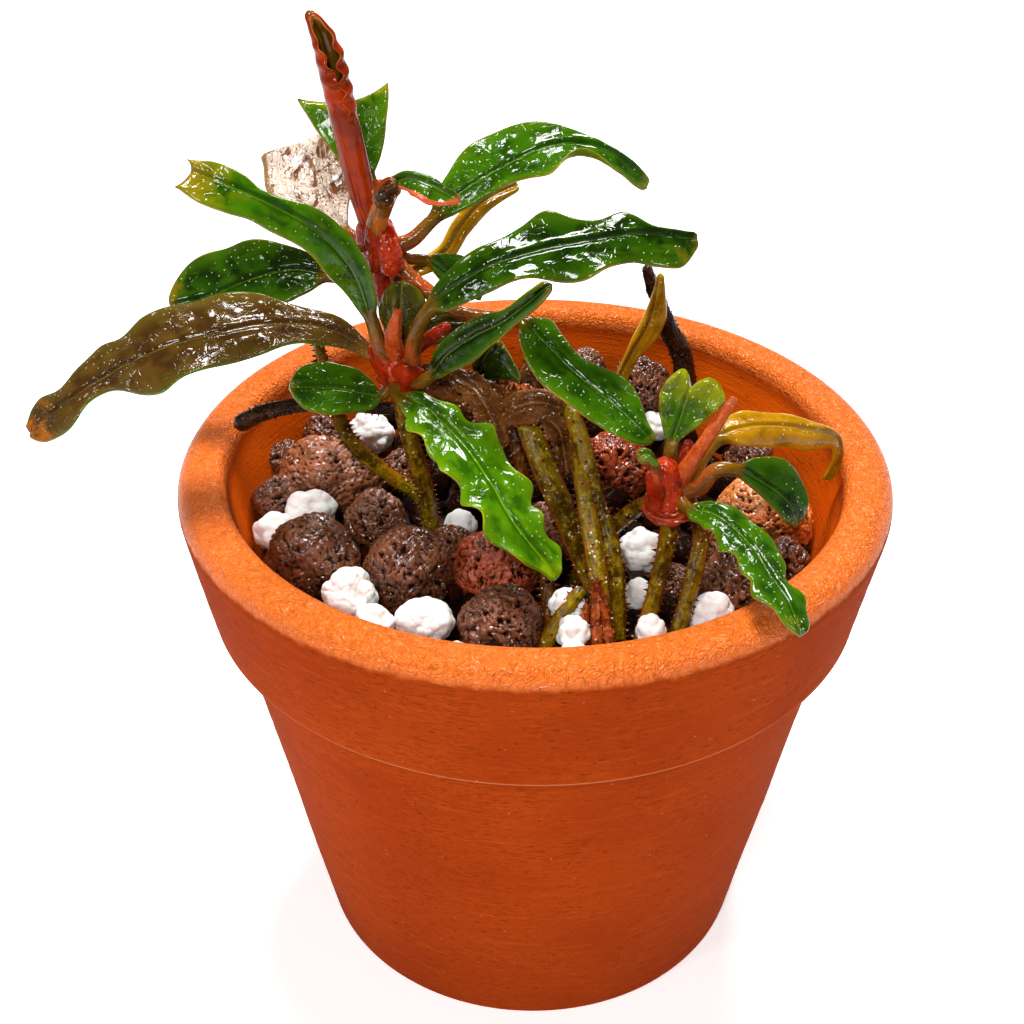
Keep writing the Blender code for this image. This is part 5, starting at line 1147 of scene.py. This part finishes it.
def terracotta_finish(settings):
    """Fired clay: a lip painted brighter as painted light from above, faint lines and dashes from
    turning, pits darkened with painted shade, a painted shadow under the collar, and pale flecks.
    """
    shade = Shader("finish_terracotta")
    parts = shade.add("ShaderNodeSeparateXYZ", {0: shade.place}).node.outputs
    height = parts["Z"]
    away_x = shade.math("SUBTRACT", parts["X"], POT_AXIS.x)
    radius = shade.math("SQRT", shade.math("ADD", shade.math("POWER", away_x, 2.0),
                                           shade.math("POWER", parts["Y"], 2.0)))

    def level(low_mm, high_mm, start=0.0, end=1.0):
        return shade.ramp(height, low_mm * MM, high_mm * MM, start, end)

    ragged = shade.math("MULTIPLY_ADD", shade.noise(1.6, 3.0), 1.0 * MM, height)
    lip = shade.ramp(ragged, (POT_HEIGHT - 1.9) * MM, (POT_HEIGHT - 0.9) * MM)
    shade.colour = shade.mix(shade.ramp(shade.noise(14.0, 3.0), 0.3, 0.7), settings.clay_deep,
                             settings.clay_light)
    # Painted light: the lip is painted brighter where the light from above falls on it.
    shade.coat(lip, settings.clay_lit_lip, 0.75)
    lines = shade.noise(3.0, 4.0, shade.stretched(0.30, 0.30, 5.0), roughness=0.7)
    shade.coat(shade.ramp(lines, 0.52, 0.76), settings.clay_lit_lip, 0.12)
    shade.coat(shade.ramp(lines, 0.34, 0.48, 1.0, 0.0), dimmed(settings.clay_deep, 0.6), 0.12)
    dashes = shade.noise(0.6, 1.0, shade.stretched(0.50, 0.50, 4.5))
    dashes = shade.times(shade.ramp(dashes, 0.57, 0.63),
                         shade.ramp(shade.noise(7.0, 2.0), 0.40, 0.62, 0.2, 0.42))
    dashes = shade.times(dashes, shade.ramp(lip, 0.2, 0.8, 1.0, 0.2))
    shade.coat(dashes, dimmed(settings.clay_deep, 0.35))
    edge = shade.away(height, (COLLAR_BOTTOM_Z + 0.35) * MM)
    shade.coat(shade.ramp(edge, 0.05 * MM, 0.30 * MM, 0.4, 0.0), (0.70, 0.28, 0.13))
    shadow = shade.times(level(COLLAR_BOTTOM_Z - 4.0, COLLAR_BOTTOM_Z - 0.4, 0.0, 0.3),
                         level(COLLAR_BOTTOM_Z - 0.3, COLLAR_BOTTOM_Z, 1.0, 0.0))
    shade.coat(shadow, dimmed(settings.clay_deep, 0.3))
    lean = shade.math("MULTIPLY_ADD", height, -0.19, radius)
    inside = shade.times(shade.ramp(lean, 27.4 * MM, 28.4 * MM, 1.0, 0.0),
                         level(POT_HEIGHT - 4.5, POT_HEIGHT - 1.5, 1.0, 0.0))
    # The inner wall below the lip takes its own, brighter and more saturated clay colour.
    shade.coat(inside, settings.clay_inner, 0.8)
    shade.coat(shade.spots(1.5, 0.05, 0.12, 2.5, 2.0, 0.55, 0.62), (0.80, 0.42, 0.22), 0.25)
    pit = shade.math("MAXIMUM", shade.spots(1.3, 0.10, 0.18, 2.0, 2.0, 0.50, 0.58,
                                            shade.stretched(0.4, 0.4, 1.6)),
                     shade.spots(1.8, 0.06, 0.11, 3.0, 1.0, 0.48, 0.54))
    pit = shade.times(pit, shade.ramp(lip, 0.2, 0.6, 1.0, 0.2))
    # Painted shade: the pits are darkened to stand for the shade inside them.
    shade.coat(pit, (0.16, 0.022, 0.003), 0.6)
    worm = shade.away(shade.noise(1.0, 1.0, distortion=1.8), 0.5)
    grain = shade.times(shade.noise(0.35, 3.0), shade.ramp(lip, 0.0, 1.0, 0.5, 0.15))
    relief = shade.math("MULTIPLY_ADD", lines, 0.7, grain)
    relief = shade.math("SUBTRACT", relief, shade.times(dashes, 0.6))
    relief = shade.math("ADD", relief, shade.times(shade.times(worm, lip), 5.0))
    relief = shade.math("SUBTRACT", relief, shade.times(pit, 0.6))
    return shade.finish(
        Roughness=shade.ramp(lip, 0.0, 1.0, 0.75, 0.32), Normal=shade.bump(relief, 0.25, 0.8),
        Specular_IOR_Level=shade.ramp(lip, 0.0, 1.0, 0.02, 0.26))


def pot_profile():
    """The pot's section, from the lip down the outside, through the drain hole and up inside."""
    def arc(centre, radius, start, end, count):
        angles = np.radians(np.linspace(start, end, count + 1))
        return [(centre[0] + radius * math.cos(a), centre[1] + radius * math.sin(a)) for a in angles]

    def run(start, end, step):
        count = max(1, int(math.dist(start, end) / step))
        return [(start[0] + (end[0] - start[0]) * k / count, start[1] + (end[1] - start[1]) * k / count)
                for k in range(count)]

    def inner_radius(z):
        top_radius = RIM_RADIUS - LIP_WIDTH - LIP_UNDERCUT
        share = (z - FLOOR_THICKNESS) / (POT_HEIGHT - LIP_DEPTH - FLOOR_THICKNESS)
        return FLOOR_RADIUS + (top_radius - FLOOR_RADIUS) * share

    outer_centre = (RIM_RADIUS - LIP_OUTER_ROUND, POT_HEIGHT - LIP_OUTER_ROUND)
    inner_centre = (RIM_RADIUS - LIP_WIDTH + LIP_INNER_ROUND, POT_HEIGHT - LIP_INNER_ROUND)
    wall_bottom_z = FLOOR_THICKNESS + FLOOR_CORNER
    wall_top_z = POT_HEIGHT - LIP_DEPTH
    round_edge = EDGE_BEVEL
    points = arc(outer_centre, LIP_OUTER_ROUND, 90, -5, 9)
    points += run(points.pop(), (COLLAR_BOTTOM_RADIUS, COLLAR_BOTTOM_Z + round_edge), 0.6)
    points += arc((COLLAR_BOTTOM_RADIUS - round_edge, COLLAR_BOTTOM_Z + round_edge), round_edge,
                  0, -90, 4)
    points += [(BODY_TOP_RADIUS + 0.5, COLLAR_BOTTOM_Z), (BODY_TOP_RADIUS, COLLAR_BOTTOM_Z - 0.4)]
    points += run((BODY_TOP_RADIUS - 0.05, COLLAR_BOTTOM_Z - 0.8), (FOOT_RADIUS, round_edge), 0.6)
    points += arc((FOOT_RADIUS - round_edge, round_edge), round_edge, 0, -90, 4)
    points += arc((DRAIN_RADIUS + round_edge, round_edge), round_edge, -90, -180, 4)
    points += arc((DRAIN_RADIUS + round_edge, FLOOR_THICKNESS - round_edge), round_edge, 180, 90, 4)
    points += [(FLOOR_RADIUS - FLOOR_CORNER, FLOOR_THICKNESS),
               (inner_radius(wall_bottom_z), wall_bottom_z)]
    points += run((inner_radius(wall_bottom_z + 0.6), wall_bottom_z + 0.6),
                  (inner_radius(wall_top_z), wall_top_z), 1.5)
    points += arc(inner_centre, LIP_INNER_ROUND, 178, 90, 7)
    return points


def add_lathe(name, profile, segments, wobble, finish, nodes):
    """A closed ring turned about the pot's axis, with a small push at each point."""
    vertices = []
    for k in range(segments):
        turn = 2 * math.pi * k / segments
        for radius, z in profile:
            push = wobble(turn, radius, z)
            vertices.append(((radius + push) * math.cos(turn), (radius + push) * math.sin(turn), z))
    count = len(profile)
    faces = []
    for k in range(segments):
        after = (k + 1) % segments
        for i in range(count):
            nxt = (i + 1) % count
            faces.append((k * count + i, k * count + nxt, after * count + nxt, after * count + i))
    return add_piece(name, vertices, faces, finish, nodes)


def add_lumps(name, stones, detail, finish, nodes=()):
    """One piece of stones: fine balls, each pushed to its radii and by its own height function."""
    vertices, faces, depths = [], [], []
    for stone, height in stones:
        ball = bmesh.new()
        bmesh.ops.create_icosphere(ball, subdivisions=detail, radius=1.0)
        start = len(vertices)
        centre, radii = Vector(stone.centre), Vector(stone.radii)
        for vertex in ball.verts:
            way = vertex.co.normalized()
            base = Vector([way[axis] * radii[axis] for axis in range(3)])
            push, depth = height(way, base + centre)
            vertices.append(centre + base * (1 + push / base.length))
            depths.append(depth)
        faces += [[start + vertex.index for vertex in face.verts] for face in ball.faces]
        ball.free()
    return add_piece(name, vertices, faces, finish, nodes, {"depth": depths})


def lava_height(settings):
    """Pushes for lava stone: broad lumps, worm-like ridges with sharp creases, and pits."""
    def height(way, place):
        broad = noise.noise(place * 0.22) * 0.9 + noise.noise(place * 0.5) * 0.4
        warp = Vector([noise.noise(place * 0.45 + Vector(shift))
                       for shift in ((0, 0, 0), (7, 0, 0), (0, 9, 0))])
        worm = min(1.0, 2.8 * abs(noise.noise((place + warp * 1.4) * 1.15)))
        small = min(1.0, 3.0 * abs(noise.noise((place + warp) * 2.1 + Vector((3, 3, 3)))))
        worm = math.sqrt(worm * (2 - worm))
        small = math.sqrt(small)
        hole = max(0.0, 1 - noise.voronoi(place * 0.6)[0][0] / PIT_RADIUS)
        relief = settings.wrinkle * (worm + 0.3 * small)
        depth = (worm + 0.5 * small) / 1.5 * (1 - hole)
        return broad + relief - 1.1 * settings.wrinkle - PIT_DEPTH * math.sqrt(hole), depth
    return height


def popcorn_height(stone, seed):
    """Pushes for perlite: a cluster of round lobes that swell out of one another."""
    rng = random.Random(seed)
    lobes = []
    for _ in range(LOBE_TRIES):
        way = Vector([rng.gauss(0, 1) for _ in range(3)]).normalized()
        swell = rng.uniform(0.32, 0.62)
        if all(way.angle(other) > LOBE_GAP * (swell + size) for other, _, size in lobes):
            lobes.append((way, 1.02 - swell + rng.uniform(-0.08, 0.02), swell))
    size = sum(stone.radii) / 3

    def height(way, place):
        total = math.exp(LOBE_BLEND * CORE_SIZE)
        for towards, away, swell in lobes:
            near = away * towards.dot(way)
            chord = swell ** 2 - away ** 2 + near ** 2
            if near > 0 and chord > 0:
                total += math.exp(LOBE_BLEND * (near + math.sqrt(chord)))
        best = math.log(total) / LOBE_BLEND
        knob = min(1.0, noise.voronoi(place)[0][0] / 0.8)
        bumps = 0.07 * math.sqrt(1 - knob * knob) - 0.05 + 0.020 * noise.noise(place * 1.2)
        crease = min(1.0, max(0.0, (best - 0.74) / 0.20))
        return size * (best - 1.0 + bumps), crease
    return height


def fill_points(rng, layers, taken):
    """Places for filler granules: random darts in each layer that keep clear of what is there."""
    placed = []
    for low_z, high_z, low_radius, high_radius, tries in layers:
        for _ in range(tries):
            radius = rng.uniform(low_radius, high_radius)
            reach = FILL_REACH - radius + (low_z - FILL_LEVEL) * WALL_LEAN
            turn = rng.uniform(0, math.tau)
            away = reach * math.sqrt(rng.random())
            place = Vector((away * math.cos(turn), away * math.sin(turn), rng.uniform(low_z, high_z)))
            if all((place - other).length > (radius + size) * FILL_CLEARANCE
                   for other, size in taken + placed):
                placed.append((place, radius))
    return placed


def add_granules(name, stones, tree, values, finish):
    """One piece of many lumps from their centres and radii."""
    mesh = bpy.data.meshes.new(name)
    mesh.from_pydata([in_frame(centre) for centre, _ in stones], [], [])
    mark_points(mesh, "radius", [radius * MM for _, radius in stones])
    piece = link_object(name, mesh)
    apply_tree(piece, tree, {**values, "Material": finish})
    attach(piece, BODY)


def number_field(name, description, default, **options):
    """A setting that is a number."""
    return FloatProperty(name=name, description=description, default=default, **options)


def whole_field(name, description, default, **options):
    """A setting that is a whole number."""
    return IntProperty(name=name, description=description, default=default, **options)


def length_field(name, description, default):
    """A setting that is a length in the scene's own unit."""
    return number_field(name, description, default, subtype="DISTANCE", unit="LENGTH", precision=5)


def colour_field(name, description, default):
    """A setting that is a colour in linear light."""
    return FloatVectorProperty(name=name, description=description, default=default, size=3,
                               subtype="COLOR")


class PotSettings(bpy.types.PropertyGroup):
    """Sizes and colours of the terracotta pot."""

    segments: whole_field("Segments", "Steps round the pot", 256, min=32)
    turning: number_field("Turning marks", "Depth of the turning marks in mm", 0.05, min=0.0)
    clay_light: colour_field("Clay", "Clay where it is dry", (0.37, 0.045, 0.0030))
    clay_deep: colour_field("Clay, deep", "Clay where it is darker", (0.32, 0.035, 0.0022))
    # Painted light: this brighter lip colour stands for the light from above falling on the lip.
    clay_lit_lip: colour_field("Lip", "The rubbed, brighter lip", (0.92, 0.185, 0.014))
    # The clay colour laid on the inner wall below the lip.
    clay_inner: colour_field("Damp clay", "The damp inner wall", (0.74, 0.105, 0.002))


class StoneSettings(bpy.types.PropertyGroup):
    """Sizes and colours of the stones and perlite."""

    wrinkle: number_field("Wrinkles", "Height of the ridges in mm", 0.62, min=0.0)
    detail: whole_field("Detail", "Subdivisions of a large stone", 6, min=3, max=7)
    seed: whole_field("Seed", "Seed of the filler granules", 11)
    stone_brown: colour_field("Brown stone", "Dark brown lava", (0.15, 0.042, 0.012))
    stone_rust: colour_field("Rust stone", "Brown lava with rust", (0.25, 0.076, 0.026))
    stone_red: colour_field("Red stone", "Dark red lava", (0.29, 0.040, 0.005))
    stone_orange: colour_field("Orange stone", "Orange-red lava", (0.48, 0.14, 0.026))
    perlite_light: colour_field("Perlite", "Perlite in the light", (0.89, 0.87, 0.84))
    perlite_shade: colour_field("Perlite shade", "Perlite in its creases", (0.74, 0.67, 0.60))


class StemSettings(bpy.types.PropertyGroup):
    """Sizes of the stems and of what grows on them."""

    ring: whole_field("Ring", "Points round a stem", 20, min=8)
    step: number_field("Step", "Distance between rings in mm", 0.4, min=0.1)
    wart_radius: length_field("Wart radius", "Radius of a wart", 0.00018)
    wart_spacing: length_field("Wart spacing", "Least distance between warts", 0.0010)
    tooth_length: length_field("Tooth length", "Length of a margin tooth", 0.00050)
    tooth_steps: whole_field("Tooth steps", "Rings from one tooth to the next", 2, min=1)
    seed: whole_field("Seed", "Seed of the warts and teeth", 5)


class LeafSettings(bpy.types.PropertyGroup):
    """Sizes of the leaves, in millimetres and degrees."""

    grid_step: number_field("Grid step", "Distance between mesh lines in mm", 0.30, min=0.1)
    bead: number_field("Margin bead", "Height of the rim beside the margin in mm", 0.07)
    thickness: number_field("Thickness", "Thickness of a blade in mm", 0.5)
    fold: number_field("Fold", "How far each half rises from the midrib in degrees", 14.0)
    groove: number_field("Groove", "Depth of the groove on the midrib in mm", 0.22)
    vein_spacing: number_field("Vein spacing", "Distance between side veins in mm", 2.4)
    vein_depth: number_field("Vein depth", "Depth of the side veins in mm", 0.05)
    crinkle: number_field("Crinkle", "Height of the blade's crinkles in mm", 0.10)


class StageSettings(bpy.types.PropertyGroup):
    """Camera and light."""

    camera_place: FloatVectorProperty(name="Camera", description="Camera from the pot's axis in mm",
                                      size=3, default=(-2.84, -173.72, 178.31))
    camera_pitch: number_field("Pitch", "How far the camera looks down in degrees", 33.8)
    focal_length: number_field("Focal length", "Lens in mm", 56.46)
    overhead: number_field("Overhead light", "Power of the softbox above", 2.7, unit="POWER")
    behind: number_field("Back light", "Power of the softbox behind", 1.3, unit="POWER")
    front: number_field("Front light", "Power of the softbox over the camera", 1.2, unit="POWER")
    key: number_field("Key light", "Power of the light at the front left", 0.6, unit="POWER")
    horizon: number_field("Horizon", "Strength of the white walls all round", 0.22)
    sky: number_field("Sky", "Strength of the light from high above", 0.07)
    floor_glow: number_field("Floor glow", "How much the floor lights up", 0.55)
    floor_colour: colour_field("Floor", "The pale floor", (0.90, 0.90, 0.89))


class BUCE_OT_pot(bpy.types.Operator):
    """Turn the terracotta pot"""

    bl_idname = "buce.pot"
    bl_label = "Pot"

    def execute(self, context):
        settings = context.scene.buce_pot

        def wobble(turn, radius, z):
            if z < 0.2 or radius < DRAIN_RADIUS + 2.0:
                return 0.0
            around = Vector((math.cos(turn) * 0.9, math.sin(turn) * 0.9, z * 1.1))
            wide = Vector((math.cos(turn) * 1.2, math.sin(turn) * 1.2, z * 0.06))
            return settings.turning * (noise.noise(around) + 2.2 * noise.noise(wide) - 1.6)

        add_lathe("pot_clay", pot_profile(), settings.segments, wobble, terracotta_finish(settings),
                  ("pot",))
        return {"FINISHED"}


class BUCE_OT_bed(bpy.types.Operator):
    """Fill the pot below the stones"""

    bl_idname = "buce.bed"
    bl_label = "Granule bed"

    def add_core(self):
        low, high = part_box("mix_bed")
        bottom, top = low[2] / MM, high[2] / MM
        core_top = top - CORE_SINK
        base_radius = FLOOR_RADIUS - FLOOR_CORNER - 0.4
        top_radius = (high[0] - low[0]) / 2 / MM - 1.3
        rings = [(base_radius * k / 6, bottom) for k in range(1, 7)]
        rings += [(base_radius + (top_radius - base_radius) * k / 12,
                   bottom + (core_top - bottom) * k / 12) for k in range(1, 13)]
        rings += [(top_radius * k / 24, core_top) for k in range(23, 0, -1)]
        vertices = [(0.0, 0.0, bottom)]
        for radius, z in rings:
            for k in range(CORE_SEGMENTS):
                turn = math.tau * k / CORE_SEGMENTS
                spot = Vector((radius * math.cos(turn), radius * math.sin(turn), z))
                lift = 0.8 * noise.noise(spot * 0.5) if z == core_top else 0.0
                vertices.append((spot.x, spot.y, z + lift))
        last = len(vertices)
        vertices.append((0.0, 0.0, core_top))
        faces = []
        for k in range(CORE_SEGMENTS):
            column = [1 + k + CORE_SEGMENTS * ring for ring in range(len(rings))]
            beside = [1 + (k + 1) % CORE_SEGMENTS + CORE_SEGMENTS * ring for ring in range(len(rings))]
            faces.append((0, beside[0], column[0]))
            faces += zip(column, beside, beside[1:], column[1:])
            faces.append((column[-1], beside[-1], last))
        add_piece("bed_core", vertices, faces, bed_finish(), ("mix_bed",))

    def execute(self, context):
        settings = context.scene.buce_stone
        self.add_core()
        solid = [(Vector(stone.centre), sum(stone.radii) / 3) for stone in
                 PEBBLES + PERLITE + SMALL_STONES + SMALL_PERLITE]
        stems = [(Vector(point), 2.0) for stalk in STALKS for point in hermite(
            stalk.points, np.linspace(0.0, 1.0, 12))[0] if point[2] < 68.0]
        fill = fill_points(random.Random(settings.seed), FILL_LAYERS, solid + stems)
        tree = granule_tree()
        values = {"Detail": 4, "Lump Depth": -0.0014, "Lump Scale": 360.0, "Wrinkle Depth": 0.0005,
                  "Wrinkle Scale": 480.0, "Seed": settings.seed}
        red = [item for index, item in enumerate(fill) if index % 5 == 2]
        brown = [item for index, item in enumerate(fill) if index % 5 != 2]
        half = len(brown) // 2
        # Painted shade: both granule finishes take the lava tones dimmed to 0.8, so the filler sits
        # darker than the named stones above it.
        finish = stone_finish("granule_brown", dimmed(settings.stone_brown, 0.8))
        add_granules("granules_one", brown[:half], tree, values, finish)
        add_granules("granules_two", brown[half:], tree, values, finish)
        finish = stone_finish("granule_red", dimmed(settings.stone_red, 0.8))
        add_granules("granules_red", red, tree, values, finish)
        return {"FINISHED"}


class BUCE_OT_stones(bpy.types.Operator):
    """Shape the named stones and perlite lumps"""

    bl_idname = "buce.stones"
    bl_label = "Stones and perlite"

    def execute(self, context):
        settings = context.scene.buce_stone
        finishes = {tone: stone_finish("lava_" + tone, getattr(settings, "stone_" + tone))
                    for tone in ("brown", "rust", "red", "orange")}
        lava = lava_height(settings)
        for stone in PEBBLES:
            add_lumps(stone.name + "_lava", [(stone, lava)], settings.detail, finishes[stone.tone],
                      (stone.name,))
        finish = perlite_finish(settings)
        for index, stone in enumerate(PERLITE):
            add_lumps(stone.name + "_lump", [(stone, popcorn_height(stone, settings.seed + index))],
                      settings.detail, finish, (stone.name,))
        crumbs = [(stone, popcorn_height(stone, settings.seed + 40 + index))
                  for index, stone in enumerate(SMALL_PERLITE)]
        add_lumps("perlite_small", crumbs, 5, finish)
        add_lumps("lava_small", [(stone, lava) for stone in SMALL_STONES], 6, finishes["brown"])
        return {"FINISHED"}


class BUCE_OT_stems(bpy.types.Operator):
    """Grow the stems, roots and rhizome with their warts and teeth"""

    bl_idname = "buce.stems"
    bl_label = "Stems and roots"

    def execute(self, context):
        settings = context.scene.buce_stem
        finishes = {name: stalk_finish(*tones) for name, tones in STEM_TONES.items()}
        tree = wart_tree()
        for stalk in STALKS:
            vertices, faces, marks = stalk_geometry(stalk, settings.ring, settings.step,
                                                    settings.tooth_steps)
            finish = finishes[stalk.finish]
            piece = add_piece(stalk.name + "_skin", vertices, faces, finish, (), marks)
            scale = {"dead": 0.5, "rhizome": 1.5}.get(stalk.finish, 1.0)
            apply_tree(piece, tree, {
                "Spacing": settings.wart_spacing, "Wart Radius": settings.wart_radius * scale,
                "Tooth Length": settings.tooth_length * scale,
                "Seed": settings.seed, "Material": finish, "Tooth Material": finishes["tooth"]})
            if stalk.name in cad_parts:
                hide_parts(stalk.name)
        return {"FINISHED"}


class BUCE_OT_growth(bpy.types.Operator):
    """Grow the red crowns and shoots"""

    bl_idname = "buce.growth"
    bl_label = "Crowns and shoots"

    def execute(self, context):
        finishes = {name: stalk_finish(*tones) for name, tones in GROWTH_TONES.items()}
        for stalk in GROWTH:
            vertices, faces, marks = stalk_geometry(stalk, 28, 0.25)
            nodes = (stalk.name,) if stalk.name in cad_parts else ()
            add_piece(stalk.name + "_flesh", vertices, faces, finishes[stalk.finish], nodes, marks)
        return {"FINISHED"}


class BUCE_OT_leaves(bpy.types.Operator):
    """Grow the leaves"""

    bl_idname = "buce.leaves"
    bl_label = "Leaves"

    def execute(self, context):
        settings, stems = context.scene.buce_leaf, context.scene.buce_stem
        finishes = {name: leaf_finish("leaf_" + name, tone) for name, tone in LEAF_TONES.items()}
        for leaf in LEAVES + (ROLLED_LEAF,):
            make_leaf(leaf, settings, finishes[leaf.finish], (leaf.name,))
        tree = wart_tree()
        for leaf in SHEATHS:
            finish = finishes[leaf.finish]
            piece = make_leaf(leaf, settings, finish)
            if leaf.finish == "sheath_brown":
                apply_tree(piece, tree, {
                    "Spacing": 0.7 * stems.wart_spacing,
                    "Wart Radius": 1.3 * stems.wart_radius, "Tooth Length": 1.3 * stems.tooth_length,
                    "Seed": stems.seed, "Material": finish, "Tooth Material": finish})
        return {"FINISHED"}


class BUCE_OT_stage(bpy.types.Operator):
    """Set the floor, the camera and the light"""

    bl_idname = "buce.stage"
    bl_label = "Stage"

    def execute(self, context):
        settings = context.scene.buce_stage
        scene = context.scene
        bpy.ops.mesh.primitive_plane_add(size=4.0, location=(POT_AXIS.x, 0.0, -0.0002))
        floor = context.object
        floor.name = "floor"
        floor.data.materials.append(Shader("finish_floor").finish(
            Base_Color=(*settings.floor_colour, 1.0), Roughness=0.9, Emission_Color=WHITE,
            Emission_Strength=settings.floor_glow))

        camera = link_object("camera", bpy.data.cameras.new("camera"))
        camera.data.lens = settings.focal_length
        camera.data.sensor_width = 36.0
        camera.data.clip_start = 0.01
        camera.location = in_frame(settings.camera_place)
        camera.rotation_euler = (math.radians(90.0 - settings.camera_pitch), 0.0, 0.0)
        scene.camera = camera

        for name, place, aim_height, size in SOFTBOXES:
            lamp = bpy.data.lights.new(name, "AREA")
            lamp.shape = "RECTANGLE"
            lamp.size, lamp.size_y = size
            lamp.energy = getattr(settings, name)
            box = link_object(name, lamp)
            box.location = Vector(place) + POT_AXIS
            aim = Vector((0.0, 0.0, aim_height)) - Vector(place)
            box.rotation_euler = aim.to_track_quat("-Z", "Y").to_euler()

        world = bpy.data.worlds.new("studio")
        world.use_nodes = True
        tree = world.node_tree
        way = add_node(tree, "ShaderNodeTexCoord", {}, "Generated")
        height = add_node(tree, "ShaderNodeSeparateXYZ", {0: way}, "Z")
        fall = add_node(tree, "ShaderNodeMapRange", {
            "Value": height, "From Min": 0.10, "From Max": 0.55, "To Min": settings.horizon,
            "To Max": settings.sky}, "Result", interpolation_type="SMOOTHSTEP")
        feed(tree, tree.nodes["Background"], {"Color": WHITE, "Strength": fall})
        scene.world = world
        scene.view_settings.view_transform = "Standard"
        return {"FINISHED"}


OPERATORS = (BUCE_OT_pot, BUCE_OT_bed, BUCE_OT_stones, BUCE_OT_stems, BUCE_OT_growth,
             BUCE_OT_leaves, BUCE_OT_stage)
SETTINGS = (("buce_pot", PotSettings), ("buce_stone", StoneSettings), ("buce_stem", StemSettings),
            ("buce_leaf", LeafSettings), ("buce_stage", StageSettings))


class BUCE_PT_panel(bpy.types.Panel):
    """The plant's steps and sizes in the sidebar"""

    bl_idname = "BUCE_PT_panel"
    bl_label = "Bucephalandra"
    bl_space_type = "VIEW_3D"
    bl_region_type = "UI"
    bl_category = "Bucephalandra"

    def draw(self, context):
        for operator in OPERATORS:
            self.layout.operator(operator.bl_idname)
        for group, settings in SETTINGS:
            box = self.layout.box()
            box.label(text=settings.__doc__.strip("."))
            for name in settings.__annotations__:
                box.prop(getattr(context.scene, group), name)


def register():
    for group, settings in SETTINGS:
        bpy.utils.register_class(settings)
        setattr(bpy.types.Scene, group, PointerProperty(type=settings))
    for made in OPERATORS + (BUCE_PT_panel,):
        bpy.utils.register_class(made)


def unregister():
    for made in reversed(OPERATORS + (BUCE_PT_panel,)):
        bpy.utils.unregister_class(made)
    for group, settings in reversed(SETTINGS):
        delattr(bpy.types.Scene, group)
        bpy.utils.unregister_class(settings)


def main():
    for default in ("Cube", "Light", "Camera"):
        if default in bpy.data.objects:
            bpy.data.objects.remove(bpy.data.objects[default])
    register()
    bpy.ops.buce.pot()
    bpy.ops.buce.bed()
    bpy.ops.buce.stones()
    bpy.ops.buce.stems()
    bpy.ops.buce.growth()
    bpy.ops.buce.leaves()
    bpy.ops.buce.stage()


if __name__ == "__main__":
    main()
